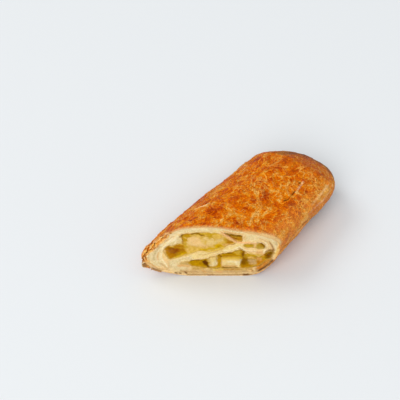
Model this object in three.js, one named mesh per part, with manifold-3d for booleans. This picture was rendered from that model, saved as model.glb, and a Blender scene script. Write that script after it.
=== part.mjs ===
// Half of a baked apple strudel, cut slantwise, with the sealed end of the roll at the far side.
// Millimetres, +Z up, +X from the cut to the sealed end, +Y to the left as the cut is faced.
import * as THREE from 'three';
import { mergeVertices } from 'three/addons/utils/BufferGeometryUtils.js';
import { ConvexGeometry } from 'three/addons/geometries/ConvexGeometry.js';
import Module from 'manifold-3d';

const wasm = await Module();
wasm.setup();

// Driving dimensions
const cutAngle = THREE.MathUtils.degToRad(54); // between the cut line and the roll's axis
const rollLength = 97.5; // from the middle of the cut to the sealed end, along the axis
const rollHeight = 39.4; // at the cut
const narrowing = 0.9; // width of the sealed end over the width at the cut
const lowering = 0.765; // height of the sealed end over the height at the cut
const endDrift = -0.8; // sideways drift of the sealed end
const endSkew = 0.105; // lean of the sealed end across the axis
const endRound = 16; // length over which the sealed end rounds off
const endFace = 0.52; // size of the folded end face over the section
const endHeight = 17.1; // height of the middle of the end face at full section height
const flankBulge = 3.8; // swell of the left flank just behind the cut
const middleU = 6.4; // middle of the section along the cut line
const seamAtCut = -14; // where the outer leaf ends over the next, along the cut line
const seamAtEnd = 6; // and at the sealed end
const leafStep = 0.8; // height of that step
const gap = 0.3; // clearance between pieces

// The cut face: outline points as [along the cut line, height], left foot first, over the top
const cutOutline = [
  [-32.2, 15.2], [-30.2, 19.2], [-26.4, 24.0], [-21.8, 29.8], [-16.2, 34.8], [-10, 38.0], [-3, rollHeight - 0.3],
  [6, rollHeight], [22.5, 36.1], [34, 33.0], [41, 29.8], [44.7, 26.0], [44.6, 20.5], [41.5, 12.2],
  [36, 4.6], [29.5, 0.7], [22, -0.2], [5, -0.3], [-8, 0.2], [-18, 2.6], [-25.5, 4.9], [-30.6, 9.6],
];
const upperPocket = [
  [-10.6, 32.6], [-6.7, 34.4], [4.4, 35.3], [17.8, 33.8], [24.0, 32.2], [24.2, 28.9], [20.3, 26.4],
  [14.5, 23.8], [6.7, 20.9], [-1.7, 19.5], [-11.2, 15.1], [-16.4, 13.4], [-19.2, 15.6], [-20.3, 20.0],
  [-18.2, 23.6], [-11.8, 26.3], [-9.9, 28.6],
];
const sidePocket = [
  [24.2, 24.9], [27.0, 26.1], [31.0, 26.2], [34.2, 26.6], [36.4, 23.4], [35.0, 21.8], [30.0, 22.4], [25.6, 22.8],
];
const lowerPocket = [
  [-11.6, 10.2], [-4.5, 12.6], [3.0, 13.7], [11.0, 18.0], [18.5, 20.0], [23.0, 21.4], [27.0, 18.4],
  [33.5, 15.8], [36.9, 18.8], [39.9, 19.6], [40.2, 16.4], [36.0, 10.6], [31.0, 6.8], [22.6, 6.0],
  [12.0, 6.1], [4.0, 6.3], [-4.0, 7.8],
];

// Pockets of filling: outline, how far the filling sinks behind the cut, and where it ends (0 cut, 1 end)
const pockets = {
  filling_upper: { outline: upperPocket, sides: 30, sink: 2.4, end: 0.84, color: '#c9a24a' },
  filling_side: { outline: sidePocket, sides: 16, sink: 1.2, end: 0.78, color: '#b9a052' },
  filling_lower: { outline: lowerPocket, sides: 32, sink: 4.2, end: 0.82, color: '#b98f3c' },
};

// Apple pieces at the cut: centre [along the cut, depth behind it, height], size [wide, deep, high], turn in degrees
const applePieces = [
  { pocket: 'filling_lower', centre: [17.4, 4.9, 10.9], size: [10.8, 9.0, 7.0], turn: -3 },
  { pocket: 'filling_lower', centre: [7.2, 4.4, 10.6], size: [4.3, 7.6, 6.0], turn: 4 },
  { pocket: 'filling_lower', centre: [23.0, 7.0, 17.0], size: [4.2, 5.4, 4.2], turn: 10 },
  { pocket: 'filling_upper', centre: [0.4, 4.6, 27.2], size: [19.0, 7.6, 10.4], turn: -4 },
  { pocket: 'filling_upper', centre: [-14.6, 5.2, 18.0], size: [9.4, 6.4, 7.6], turn: -12 },
  { pocket: 'filling_upper', centre: [14.6, 4.2, 31.2], size: [5.6, 6.0, 3.4], turn: 8 },
  { pocket: 'filling_upper', centre: [16.0, 4.4, 26.4], size: [6.6, 6.0, 3.6], turn: 8 },
  { pocket: 'filling_lower', centre: [29.4, 5.0, 11.6], size: [5.4, 7.0, 6.4], turn: 6 },
  { pocket: 'filling_lower', centre: [38.2, 4.6, 17.3], size: [3.0, 6.0, 4.0], turn: 20 },
];

// Slits between the outer leaves on the left flank, open at the cut: how deep under the crust, how wide,
// from where to where round the outline (0 to 1), and how far they reach along the roll
const leafSlits = [
  { depth: 1.5, wide: 0.8, from: 0.03, to: 0.13, reach: 0.07 },
  { depth: 3.0, wide: 0.7, from: 0.06, to: 0.19, reach: 0.05 },
];

// The crack in the crust: its line along the roll, the crust's height there, its ends, width and depth
const crack = { line: 29, height: 34.2, from: 0.43, to: 0.57, wide: 1.1, deep: 1.5 };

const seed = 7;
const sidesAround = 78;
const stepsAlong = 30;
const stepsRound = 9;
const stepsFold = 6;

function randomSource(start) {
  let state = start;
  return () => {
    state = (state * 16807) % 2147483647;
    return state / 2147483647;
  };
}

const { clamp, lerp, smoothstep } = THREE.MathUtils;

// A smooth closed outline through the given points, evenly spaced
function smoothLoop(points, count) {
  const corners = points.map(([u, z]) => new THREE.Vector3(u, z, 0));
  const curve = new THREE.CatmullRomCurve3(corners, true, 'catmullrom', 0.5);
  return curve.getSpacedPoints(count).slice(0, count).map((p) => [p.x, Math.max(p.y, 0)]);
}

// Moves each point of a loop along its outward normal (the loops run clockwise)
function offsetLoop(loop, distance) {
  return loop.map(([u, z], i) => {
    const before = loop[(i + loop.length - 1) % loop.length];
    const after = loop[(i + 1) % loop.length];
    const along = new THREE.Vector2(after[0] - before[0], after[1] - before[1]).normalize();
    const amount = typeof distance === 'function' ? distance(u, z, i) : distance;
    return [u - along.y * amount, z + along.x * amount];
  });
}

// Places a point of the cut face (u along the cut line, z height) at station t of the roll: 0 at the cut,
// 1 at the sealed end. fold runs from 0 to 1 over the pinched end face.
function rollPoint(u, z, t, fold = 0) {
  const axial = u * Math.cos(cutAngle);
  const across = (u - middleU) * Math.sin(cutAngle);
  const middle = middleU * Math.sin(cutAngle) + endDrift * t;
  const endAxial = rollLength + endSkew * across * narrowing;
  let x = lerp(axial, endAxial, t);
  const left = clamp(-across / 30, 0, 1);
  const swell = flankBulge * left * left * clamp(z / 12, 0, 1) * Math.sin(Math.PI * clamp(t, 0, 1) ** 0.45);
  const side = across * lerp(1, narrowing, t) - swell;
  const height = z * lerp(1, lowering, t);
  const near = clamp((x - endAxial) / endRound + 1, 0, 1);
  const sharpness = 1.5 - 0.39 * clamp((z - 20) / 20, 0, 1);
  const shrink = endFace + (1 - endFace) * (1 - near ** sharpness) ** (1 / sharpness);
  const centreHeight = endHeight * lerp(1, lowering, t);
  const wide = shrink * (1 - 0.3 * fold * fold);
  const high = shrink * (1 - 0.97 * fold);
  x += 2.0 * (1 - (1 - fold) ** 2) - 1.6 * fold ** 6;
  return new THREE.Vector3(x, -(middle + side * wide), centreHeight + (height - centreHeight) * high);
}

// Smooth seeded noise over a plane, between -1 and 1
function surfaceNoise(x, y) {
  const cellX = Math.floor(x);
  const cellY = Math.floor(y);
  const blend = (share) => share * share * (3 - 2 * share);
  const height = (i, j) => {
    const mixed = Math.sin(i * 127.1 + j * 311.7 + seed * 17.3) * 43758.5453;
    return 2 * (mixed - Math.floor(mixed)) - 1;
  };
  const shareX = blend(x - cellX);
  const low = lerp(height(cellX, cellY), height(cellX + 1, cellY), shareX);
  const high = lerp(height(cellX, cellY + 1), height(cellX + 1, cellY + 1), shareX);
  return lerp(low, high, blend(y - cellY));
}

// The crust's relief as an offset outward: blisters, and the step where one leaf ends over the next.
// girth is the distance round the section; the flat base stays flat.
function crustRelief(u, z, t, girth) {
  const along = rollLength * t;
  const blisters = 0.45 * surfaceNoise(along / 13, girth / 15) + 0.25 * surfaceNoise(along / 6.5 + 40, girth / 7);
  const seamLine = lerp(seamAtCut, seamAtEnd, t) + 1.5 * surfaceNoise(along / 9 + 80, 3.5);
  const step = leafStep * smoothstep(u, seamLine - 0.8, seamLine + 0.8) * smoothstep(z, 20, 28);
  const behindCut = smoothstep(t, 0, 0.05);
  return (blisters + step - leafStep / 2) * behindCut * smoothstep(z, 2, 9);
}

// A closed mesh from rings of points, with its two ends capped along the flat outline
function closeRings(rings, capOutline) {
  const count = rings[0].length;
  const positions = rings.flat().flatMap((p) => [p.x, p.y, p.z]);
  const faces = [];
  for (let r = 0; r + 1 < rings.length; r += 1) {
    for (let i = 0; i < count; i += 1) {
      const j = (i + 1) % count;
      const a = r * count + i;
      const b = r * count + j;
      faces.push([a, b, b + count], [a, b + count, a + count]);
    }
  }
  const flat = capOutline.map(([u, z]) => new THREE.Vector2(u, z));
  const last = (rings.length - 1) * count;
  for (const [a, b, c] of THREE.ShapeUtils.triangulateShape(flat, [])) {
    faces.push([a, b, c], [last + a, last + c, last + b]);
  }
  const geometry = new THREE.BufferGeometry();
  geometry.setAttribute('position', new THREE.Float32BufferAttribute(positions, 3));
  geometry.setIndex(faces.flat());
  return geometry;
}

function signedVolume(geometry) {
  const index = geometry.index.array;
  const position = geometry.attributes.position;
  const corner = (k) => new THREE.Vector3().fromBufferAttribute(position, index[k]);
  let total = 0;
  for (let k = 0; k < index.length; k += 3) {
    total += corner(k).dot(corner(k + 1).cross(corner(k + 2))) / 6;
  }
  return total;
}

// A three.js mesh as an exact solid, with its faces turned outward
function solidOf(source) {
  const bare = source.clone();
  bare.deleteAttribute('normal');
  bare.deleteAttribute('uv');
  const geometry = mergeVertices(bare, 1e-4);
  const triangles = new Uint32Array(geometry.index.array);
  if (signedVolume(geometry) < 0) {
    triangles.reverse();
  }
  const vertices = new Float32Array(geometry.attributes.position.array);
  return new wasm.Manifold(new wasm.Mesh({ numProp: 3, vertProperties: vertices, triVerts: triangles }));
}

function geometryOf(solid) {
  const mesh = solid.getMesh();
  const geometry = new THREE.BufferGeometry();
  geometry.setAttribute('position', new THREE.Float32BufferAttribute(mesh.vertProperties, mesh.numProp));
  geometry.setIndex(new THREE.Uint32BufferAttribute(mesh.triVerts, 1));
  geometry.computeVertexNormals();
  return geometry;
}

// The whole roll before the pockets are cut out of it
function rollSolid() {
  const outline = smoothLoop(cutOutline, sidesAround);
  const stations = [];
  const roundStart = 1 - endRound / rollLength - 0.06;
  for (let i = 0; i < stepsAlong; i += 1) {
    stations.push({ t: (roundStart * i) / stepsAlong, fold: 0 });
  }
  for (let i = 0; i <= stepsRound; i += 1) {
    const t = roundStart + (1 - roundStart) * Math.sin((Math.PI / 2) * (i / stepsRound));
    stations.push({ t, fold: 0 });
  }
  for (let i = 1; i <= stepsFold; i += 1) {
    stations.push({ t: 1, fold: i / stepsFold });
  }
  const perimeter = 150;
  const rings = stations.map(({ t, fold }) => {
    const relief = (u, z, i) => crustRelief(u, z, t, (i / sidesAround) * perimeter) * (1 - fold);
    return offsetLoop(outline, relief).map(([u, z]) => rollPoint(u, Math.max(z, 0), t, fold));
  });
  return solidOf(closeRings(rings, outline));
}

// A pocket's shape run along the roll, its far end rounded off
function pocketSolid({ outline, sides, end }, from, inset, shorten) {
  const loop = offsetLoop(smoothLoop(outline, sides), -inset);
  const middle = loop.reduce(([su, sz], [u, z]) => [su + u / sides, sz + z / sides], [0, 0]);
  const to = end - shorten / rollLength;
  const steps = 11;
  const rings = [];
  for (let i = 0; i <= steps; i += 1) {
    const share = i / steps;
    const t = lerp(from, to, Math.sin(share * Math.PI * 0.5) * 0.35 + share * 0.65);
    const size = share < 0.8 ? 1 : 1 - 0.3 * ((share - 0.8) / 0.2) ** 2;
    rings.push(loop.map(([u, z]) => rollPoint(lerp(middle[0], u, size), lerp(middle[1], z, size), t)));
  }
  return solidOf(closeRings(rings, loop));
}

// A slit between two leaves of the crust, as a thin lens that follows the outline inside the crust
function leafSlit({ depth, wide, from, to, reach }) {
  const outline = smoothLoop(cutOutline, sidesAround);
  const first = Math.round(from * sidesAround);
  const last = Math.round(to * sidesAround);
  const nearSide = offsetLoop(outline, (u, z, i) => {
    return wide * 0.5 * Math.sin((Math.PI * (i - first + 0.5)) / (last - first)) - depth;
  });
  const farSide = offsetLoop(outline, (u, z, i) => {
    return -wide * 0.5 * Math.sin((Math.PI * (i - first + 0.5)) / (last - first)) - depth;
  });
  const loop = [...nearSide.slice(first, last), ...farSide.slice(first, last).reverse()];
  const rings = [-0.02, reach * 0.5, reach].map((t) => loop.map(([u, z]) => rollPoint(u, z, t)));
  return solidOf(closeRings(rings, loop));
}

// A chip of apple: a box with cut-off, slightly uneven corners, as a convex solid
function appleGeometry({ centre, size, turn }, index, grow) {
  const random = randomSource(seed + index * 131);
  const points = [];
  const half = size.map((s) => s / 2 + grow);
  const bevel = Math.min(...half) * 0.32;
  for (const sx of [-1, 1]) {
    for (const sy of [-1, 1]) {
      for (const sz of [-1, 1]) {
        const wander = () => (random() - 0.5) * 0.16 * Math.min(...size);
        const corner = [sx * half[0] + wander(), sy * half[1] + wander(), sz * half[2] + wander()];
        points.push(new THREE.Vector3(corner[0] - sx * bevel, corner[1], corner[2]));
        points.push(new THREE.Vector3(corner[0], corner[1] - sy * bevel, corner[2]));
        points.push(new THREE.Vector3(corner[0], corner[1], corner[2] - sz * bevel));
      }
    }
  }
  const geometry = new ConvexGeometry(points);
  geometry.rotateY(THREE.MathUtils.degToRad(-turn));
  geometry.translate(centre[0], centre[1], centre[2]);
  // local x runs along the cut line and local y runs into the roll
  const along = new THREE.Vector3(Math.cos(cutAngle), -Math.sin(cutAngle), 0);
  const inward = new THREE.Vector3(Math.sin(cutAngle), Math.cos(cutAngle), 0);
  geometry.applyMatrix4(new THREE.Matrix4().makeBasis(along, inward, new THREE.Vector3(0, 0, 1)));
  return geometry;
}

// The crack baked into the crust near the sealed end: a thin wedge that opens in the middle
function crackWedge({ line, height, from, to, wide, deep }) {
  const start = rollPoint(line, height, from);
  const end = rollPoint(line, height, to);
  const above = new THREE.Vector3(0, 0, 4);
  const across = new THREE.Vector3().subVectors(end, start).cross(above).normalize();
  const points = [];
  for (const share of [0.02, 0.3, 0.65, 0.98]) {
    const opening = Math.sin(Math.PI * share);
    const middle = new THREE.Vector3().lerpVectors(start, end, share);
    for (const side of [-1, 1]) {
      points.push(middle.clone().addScaledVector(across, side * (0.5 * wide * opening + 0.1)).add(above));
    }
    points.push(new THREE.Vector3(middle.x, middle.y, middle.z - deep * opening));
  }
  return solidOf(new ConvexGeometry(points));
}

const roll = new THREE.Group();

function addPiece(name, solid, color, roughness) {
  const material = new THREE.MeshStandardMaterial({ color, roughness, metalness: 0 });
  const mesh = new THREE.Mesh(geometryOf(solid), material);
  mesh.name = name;
  roll.add(mesh);
}

// Pastry: the roll less its pockets, the slits between its outer leaves and the crack
let pastry = rollSolid();
for (const slit of leafSlits) {
  pastry = pastry.subtract(leafSlit(slit));
}
pastry = pastry.subtract(crackWedge(crack));
for (const pocket of Object.values(pockets)) {
  pastry = pastry.subtract(pocketSolid(pocket, -0.03, 0, 0));
}
addPiece('pastry', pastry, '#c98746', 0.6);

// Apple pieces, kept inside their pocket, and the filling around them
const fillings = {};
for (const [name, pocket] of Object.entries(pockets)) {
  const sinkStation = pocket.sink / Math.sin(cutAngle) / rollLength;
  fillings[name] = pocketSolid(pocket, sinkStation, gap * 1.3, gap * 2);
}
applePieces.forEach((piece, i) => {
  const room = pocketSolid(pockets[piece.pocket], -0.03, gap * 1.3, gap * 2);
  const apple = solidOf(appleGeometry(piece, i, 0)).intersect(room);
  fillings[piece.pocket] = fillings[piece.pocket].subtract(solidOf(appleGeometry(piece, i, gap)));
  addPiece(`apple_${i + 1}`, apple, '#ead79a', 0.45);
});
for (const [name, pocket] of Object.entries(pockets)) {
  addPiece(name, fillings[name], pocket.color, 0.4);
}

// The origin is the middle of the footprint, on the table
const box = new THREE.Box3().setFromObject(roll);
roll.position.set(-(box.min.x + box.max.x) / 2, -(box.min.y + box.max.y) / 2, -box.min.z);

const strudel = new THREE.Group();
strudel.add(roll);

export default strudel;
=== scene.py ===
# Half of a baked apple strudel, cut slantwise: browned crust, dough leaves at the cut,
# pockets of apple filling and the apple pieces that show there. Lengths are in millimetres
# until a mesh is made.
import bpy
import math
import numpy as np
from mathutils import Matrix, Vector
from mathutils.geometry import delaunay_2d_cdt


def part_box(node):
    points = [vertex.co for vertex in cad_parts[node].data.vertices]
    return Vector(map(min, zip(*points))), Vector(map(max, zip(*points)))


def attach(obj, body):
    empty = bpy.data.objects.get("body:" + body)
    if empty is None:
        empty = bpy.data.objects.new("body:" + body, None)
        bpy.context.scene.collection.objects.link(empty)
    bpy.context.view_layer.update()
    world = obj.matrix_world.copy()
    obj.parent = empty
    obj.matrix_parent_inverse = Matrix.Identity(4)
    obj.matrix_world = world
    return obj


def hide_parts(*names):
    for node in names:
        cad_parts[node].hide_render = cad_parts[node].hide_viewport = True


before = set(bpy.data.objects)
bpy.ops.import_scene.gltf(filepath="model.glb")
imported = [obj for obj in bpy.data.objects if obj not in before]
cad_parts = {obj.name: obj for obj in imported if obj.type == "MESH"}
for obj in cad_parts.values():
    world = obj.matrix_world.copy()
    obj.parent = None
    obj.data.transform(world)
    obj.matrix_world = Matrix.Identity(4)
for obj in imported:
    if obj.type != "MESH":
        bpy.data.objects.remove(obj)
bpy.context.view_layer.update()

millimetre = 0.001
randomSeed = 7

rollShape = {
    "cutAngle": math.radians(54),  # between the cut line and the roll's axis
    "length": 97.5,  # from the middle of the cut to the sealed end
    "narrowing": 0.9,  # width of the sealed end over the width at the cut
    "lowering": 0.765,  # height of the sealed end over the height at the cut
    "endDrift": -0.8,
    "endSkew": 0.105,
    "endRound": 16.0,
    "endFace": 0.52,
    "endHeight": 17.1,
    "flankBulge": 3.8,
    "middle": 6.4,  # middle of the section along the cut line
    "seamAtCut": -14.0,  # where the outer leaf ends over the next
    "seamAtEnd": 6.0,
    "leafStep": 0.8,
    "outline": [  # left foot first, over the top: along the cut line, height
        (-32.2, 15.2), (-30.2, 19.2), (-26.4, 24.0), (-21.8, 29.8), (-16.2, 34.8), (-10, 38.0),
        (-3, 39.1), (6, 39.4), (22.5, 36.1), (34, 33.0), (41, 29.8), (44.7, 26.0), (44.6, 20.5),
        (41.5, 12.2), (36, 4.6), (29.5, 0.7), (22, -0.2), (5, -0.3), (-8, 0.2), (-18, 2.6),
        (-25.5, 4.9), (-30.6, 9.6),
    ],
}

pocketShapes = {
    "filling_upper": {
        "outline": [
            (-10.6, 32.6), (-6.7, 34.4), (4.4, 35.3), (17.8, 33.8), (24.0, 32.2), (24.2, 28.9),
            (20.3, 26.4), (14.5, 23.8), (6.7, 20.9), (-1.7, 19.5), (-11.2, 15.1), (-16.4, 13.4),
            (-19.2, 15.6), (-20.3, 20.0), (-18.2, 23.6), (-11.8, 26.3), (-9.9, 28.6),
        ],
        "end": 0.84,
    },
    "filling_side": {
        "outline": [
            (24.2, 24.9), (27.0, 26.1), (31.0, 26.2), (34.2, 26.6), (36.4, 23.4), (35.0, 21.8),
            (30.0, 22.4), (25.6, 22.8),
        ],
        "end": 0.78,
    },
    "filling_lower": {
        "outline": [
            (-11.6, 10.2), (-4.5, 12.6), (3.0, 13.7), (11.0, 18.0), (18.5, 20.0), (23.0, 21.4),
            (27.0, 18.4), (33.5, 15.8), (36.9, 18.8), (39.9, 19.6), (40.2, 16.4), (36.0, 10.6),
            (31.0, 6.8), (22.6, 6.0), (12.0, 6.1), (4.0, 6.3), (-4.0, 7.8),
        ],
        "end": 0.82,
    },
}

pocketEdge = {"points": 170, "tear": 1.1, "tearSize": 2.4, "tearStart": 6.0, "lastRings": 3, "drawnIn": 0.3}


# Small helpers

def srgb(red, green, blue):
    def linear(value):
        value = value / 255
        return value / 12.92 if value <= 0.04045 else ((value + 0.055) / 1.055) ** 2.4
    return (linear(red), linear(green), linear(blue), 1.0)


def rgb(red, green, blue):  # the same without alpha
    return np.array(srgb(red, green, blue)[:3])


def bell(distance, width):  # 1 in the middle, falling softly to 0
    return np.exp(-((distance / width) ** 2))


def smoothStep(low, high, value):
    share = np.clip((value - low) / (high - low), 0, 1)
    return share * share * (3 - 2 * share)


def mixed(low, high, share):
    return low + (high - low) * share


def planeNoise(x, y, salt=0.0):  # smooth noise over a plane, between -1 and 1
    x, y = np.broadcast_arrays(np.asarray(x, float), np.asarray(y, float))
    cellX, cellY = np.floor(x), np.floor(y)

    def height(i, j):
        value = np.sin(i * 127.1 + j * 311.7 + (randomSeed + salt) * 17.3) * 43758.5453
        return 2 * (value - np.floor(value)) - 1

    shareX, shareY = smoothStep(0, 1, x - cellX), smoothStep(0, 1, y - cellY)
    low = mixed(height(cellX, cellY), height(cellX + 1, cellY), shareX)
    high = mixed(height(cellX, cellY + 1), height(cellX + 1, cellY + 1), shareX)
    return mixed(low, high, shareY)


def roughNoise(x, y, octaves=4, salt=0.0):  # several sizes of plane noise summed
    total, weight, reach = 0.0, 1.0, 0.0
    for octave in range(octaves):
        total = total + weight * planeNoise(x * 2**octave + 19 * octave, y * 2**octave - 7 * octave, salt)
        reach += weight
        weight *= 0.5
    return total / reach


def cells(x, y, salt=0.0):  # distance to the nearest cell edge, and a random value for each cell
    x, y = np.broadcast_arrays(np.asarray(x, float), np.asarray(y, float))
    baseX, baseY = np.floor(x), np.floor(y)
    nearest, second = np.full(x.shape, 9.0), np.full(x.shape, 9.0)
    identity = np.zeros(x.shape)
    for stepX in (-1, 0, 1):
        for stepY in (-1, 0, 1):
            i, j = baseX + stepX, baseY + stepY

            def jitter(a, b):
                value = np.sin(i * a + j * b + (randomSeed + salt) * 3.1) * 24634.6345
                return value - np.floor(value)

            seedX, seedY, value = i + jitter(127.1, 311.7), j + jitter(269.5, 183.3), jitter(71.7, 37.9)
            distance = np.hypot(x - seedX, y - seedY)
            closer = distance < nearest
            second = np.where(closer, nearest, np.minimum(second, distance))
            identity = np.where(closer, value, identity)
            nearest = np.where(closer, distance, nearest)
    return second - nearest, identity


def runLength(points):  # how far each point lies along the line
    return np.r_[0, np.cumsum(np.hypot(*np.diff(points, axis=0).T))]


def atRun(points, run, wanted):
    return np.stack([np.interp(wanted, run, points[:, 0]), np.interp(wanted, run, points[:, 1])], 1)


def curveShare(a, b, c, d, share):  # the way from b to c on a smooth curve past a and d
    return 0.5 * (2 * b + (c - a) * share + (2 * a - 5 * b + 4 * c - d) * share**2
                  + (3 * b - a - 3 * c + d) * share**3)


def smoothLoop(points, count, fine=40):  # closed curve through the points, evenly spaced
    points = np.asarray(points, float)
    before, after, beyond = np.roll(points, 1, 0), np.roll(points, -1, 0), np.roll(points, -2, 0)
    share = (np.arange(fine) / fine)[None, :, None]
    curve = curveShare(*(a[:, None, :] for a in (before, points, after, beyond)), share).reshape(-1, 2)
    closed = np.vstack([curve, curve[:1]])
    run = runLength(closed)
    loop = atRun(closed, run, np.arange(count) / count * run[-1])
    loop[:, 1] = np.maximum(loop[:, 1], 0)
    return loop, run[-1]


def outwardNormals(loop):  # the loops run clockwise
    along = np.roll(loop, -1, 0) - np.roll(loop, 1, 0)
    along = along / np.linalg.norm(along, axis=1, keepdims=True)
    return np.stack([-along[:, 1], along[:, 0]], 1)


def pocketLoop(name):  # the torn edge of a pocket
    look, count = pocketEdge, pocketEdge["points"]
    loop, length = smoothLoop(pocketShapes[name]["outline"], count)
    girth = np.arange(count) / count * length
    torn = look["tear"] * roughNoise(girth / look["tearSize"], 0.4, 3, 300 + len(name))
    return offsetLoop(loop, torn * smoothStep(0, look["tearStart"], np.minimum(girth, length - girth)))


def offsetLoop(loop, distance):
    return loop + outwardNormals(loop) * np.asarray(distance).reshape(-1, 1)


def insideLoop(points, loop):  # even-odd rule for many points at once
    x, y = points[:, 0][:, None], points[:, 1][:, None]
    x0, y0 = loop[:, 0][None], loop[:, 1][None]
    x1, y1 = np.roll(loop[:, 0], -1)[None], np.roll(loop[:, 1], -1)[None]
    crosses = (y0 > y) != (y1 > y)
    rise = np.where(y1 == y0, 1e-9, y1 - y0)
    return (crosses & (x < (x1 - x0) * (y - y0) / rise + x0)).sum(1) % 2 == 1


def ridges(x, y, salt=0.0):  # thin wandering lines: 1 on a line, falling to 0
    return 1 - np.abs(roughNoise(x, y, 3, salt)) * 3


def distanceToLoop(points, loop, closed=True):
    start = loop if closed else loop[:-1]
    end = np.roll(loop, -1, 0) if closed else loop[1:]
    best = np.full(len(points), 1e9)
    for a, b in zip(start, end):
        run = b - a
        share = np.clip(((points - a) @ run) / (run @ run + 1e-12), 0, 1)
        best = np.minimum(best, np.linalg.norm(points - a - share[:, None] * run, axis=1))
    return best


# The roll's shape, shared by the crust, the dough and the filling

def rawRollPoint(u, z, t, fold=0.0):
    s = rollShape
    u, z, t, fold = (np.asarray(a, float) for a in (u, z, t, fold))
    axial, across = u * math.cos(s["cutAngle"]), (u - s["middle"]) * math.sin(s["cutAngle"])
    middle = s["middle"] * math.sin(s["cutAngle"]) + s["endDrift"] * t
    endAxial = s["length"] + s["endSkew"] * across * s["narrowing"]
    x = mixed(axial, endAxial, t)
    left = np.clip(-across / 30, 0, 1)
    swell = s["flankBulge"] * left**2 * np.clip(z / 12, 0, 1) * np.sin(math.pi * np.clip(t, 0, 1) ** 0.45)
    side = across * mixed(1, s["narrowing"], t) - swell
    height = z * mixed(1, s["lowering"], t)
    near = np.clip((x - endAxial) / s["endRound"] + 1, 0, 1)
    sharpness = 1.5 - 0.39 * np.clip((z - 20) / 20, 0, 1)
    shrink = s["endFace"] + (1 - s["endFace"]) * (1 - near**sharpness) ** (1 / sharpness)
    centreHeight = s["endHeight"] * mixed(1, s["lowering"], t)
    wide = shrink * (1 - 0.3 * fold * fold)
    high = shrink * (1 - 0.97 * fold)
    x = x + 2.0 * (1 - (1 - fold) ** 2) - 1.6 * fold**6
    y = -(middle + side * wide)
    return np.stack(np.broadcast_arrays(x, y, centreHeight + (height - centreHeight) * high), -1)


def frameOffset():  # from the roll's own origin to the middle of the footprint
    around, lengthwise = 220, 60
    loop, _ = smoothLoop(rollShape["outline"], around)
    points = rawRollPoint(loop[:, 0][None], loop[:, 1][None], np.linspace(0, 1, lengthwise)[:, None])
    points = points.reshape(-1, 3)
    low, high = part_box("pastry")
    low, high = np.array(low) / millimetre, np.array(high) / millimetre
    across = (low[1] + high[1] - points[:, 1].min() - points[:, 1].max()) / 2
    return np.array([low[0] - points[:, 0].min(), across, 0.0])


rollOffset = frameOffset()
faceNormal = np.array([-math.sin(rollShape["cutAngle"]), -math.cos(rollShape["cutAngle"]), 0.0])
faceAlong = np.array([math.cos(rollShape["cutAngle"]), -math.sin(rollShape["cutAngle"]), 0.0])


def rollPoint(u, z, t, fold=0.0):
    return rawRollPoint(u, z, t, fold) + rollOffset


def facePoint(u, z, out):  # a point of the cut face, moved out of it
    return rollPoint(u, z, 0.0) + np.asarray(out, float)[..., None] * faceNormal


# Making meshes

def makeMesh(name, points, faces, masks=None, colors=None, smooth=True):
    mesh = bpy.data.meshes.new(name)
    points = np.asarray(points, float).reshape(-1, 3) * millimetre
    mesh.from_pydata(points.tolist(), [], [tuple(int(i) for i in face) for face in faces])
    mesh.update()
    for key, values in (masks or {}).items():
        layer = mesh.attributes.new(key, "FLOAT", "POINT")
        layer.data.foreach_set("value", np.asarray(values, np.float32).ravel())
    for key, values in (colors or {}).items():
        layer = mesh.attributes.new(key, "FLOAT_COLOR", "POINT")
        values = np.asarray(values, np.float32).reshape(-1, 3)
        layer.data.foreach_set("color", np.hstack([values, np.ones((len(values), 1), np.float32)]).ravel())
    if smooth:
        mesh.shade_smooth()
    piece = bpy.data.objects.new(name, mesh)
    bpy.context.scene.collection.objects.link(piece)
    return piece


def ringFaces(rings, around, start=0):
    index = start + np.arange(rings * around).reshape(rings, around)
    a, b = index[:-1], np.roll(index, -1, 1)[:-1]
    c, d = np.roll(index, -1, 1)[1:], index[1:]
    return np.stack([a, b, c, d], -1).reshape(-1, 4).tolist()


def gridFaces(rows, columns, start=0):
    index = start + np.arange(rows * columns).reshape(rows, columns)
    corners = [index[:-1, :-1], index[:-1, 1:], index[1:, 1:], index[1:, :-1]]
    return np.stack(corners, -1).reshape(-1, 4).tolist()


def fanFaces(ring, around, centre, flipped=False):  # closes a ring of points to its middle point
    turn = [(i, (i + 1) % around) for i in range(around)]
    return [[ring + b, ring + a, centre] if flipped else [ring + a, ring + b, centre] for a, b in turn]


def bodyFaces(front, around, count, steps):  # a front, the rings behind it and a closed back
    faces = front.tolist()
    for i in range(around):
        j = (i + 1) % around
        faces.append([i, j, count + j, count + i])
    faces += ringFaces(steps, around, count)
    return faces + fanFaces(count + (steps - 1) * around, around, count + steps * around)


def narrowed(loop, step, steps):  # the last rings of a pocket draw in
    last = pocketEdge["lastRings"]
    size = 1.0 if step < steps - last else 1 - pocketEdge["drawnIn"] * ((step - steps + last + 1) / last) ** 2
    middle = loop.mean(0)
    return middle + (loop - middle) * size


def joinParts(parts):  # several (points, faces, colours) in one
    points, faces, colors, count = [], [], [], 0
    for partPoints, partFaces, partColors in parts:
        points.append(np.asarray(partPoints, float).reshape(-1, 3))
        faces += [[i + count for i in face] for face in partFaces]
        colors.append(np.asarray(partColors, float).reshape(-1, 3))
        count += len(points[-1])
    return np.vstack(points), faces, np.vstack(colors)


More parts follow.
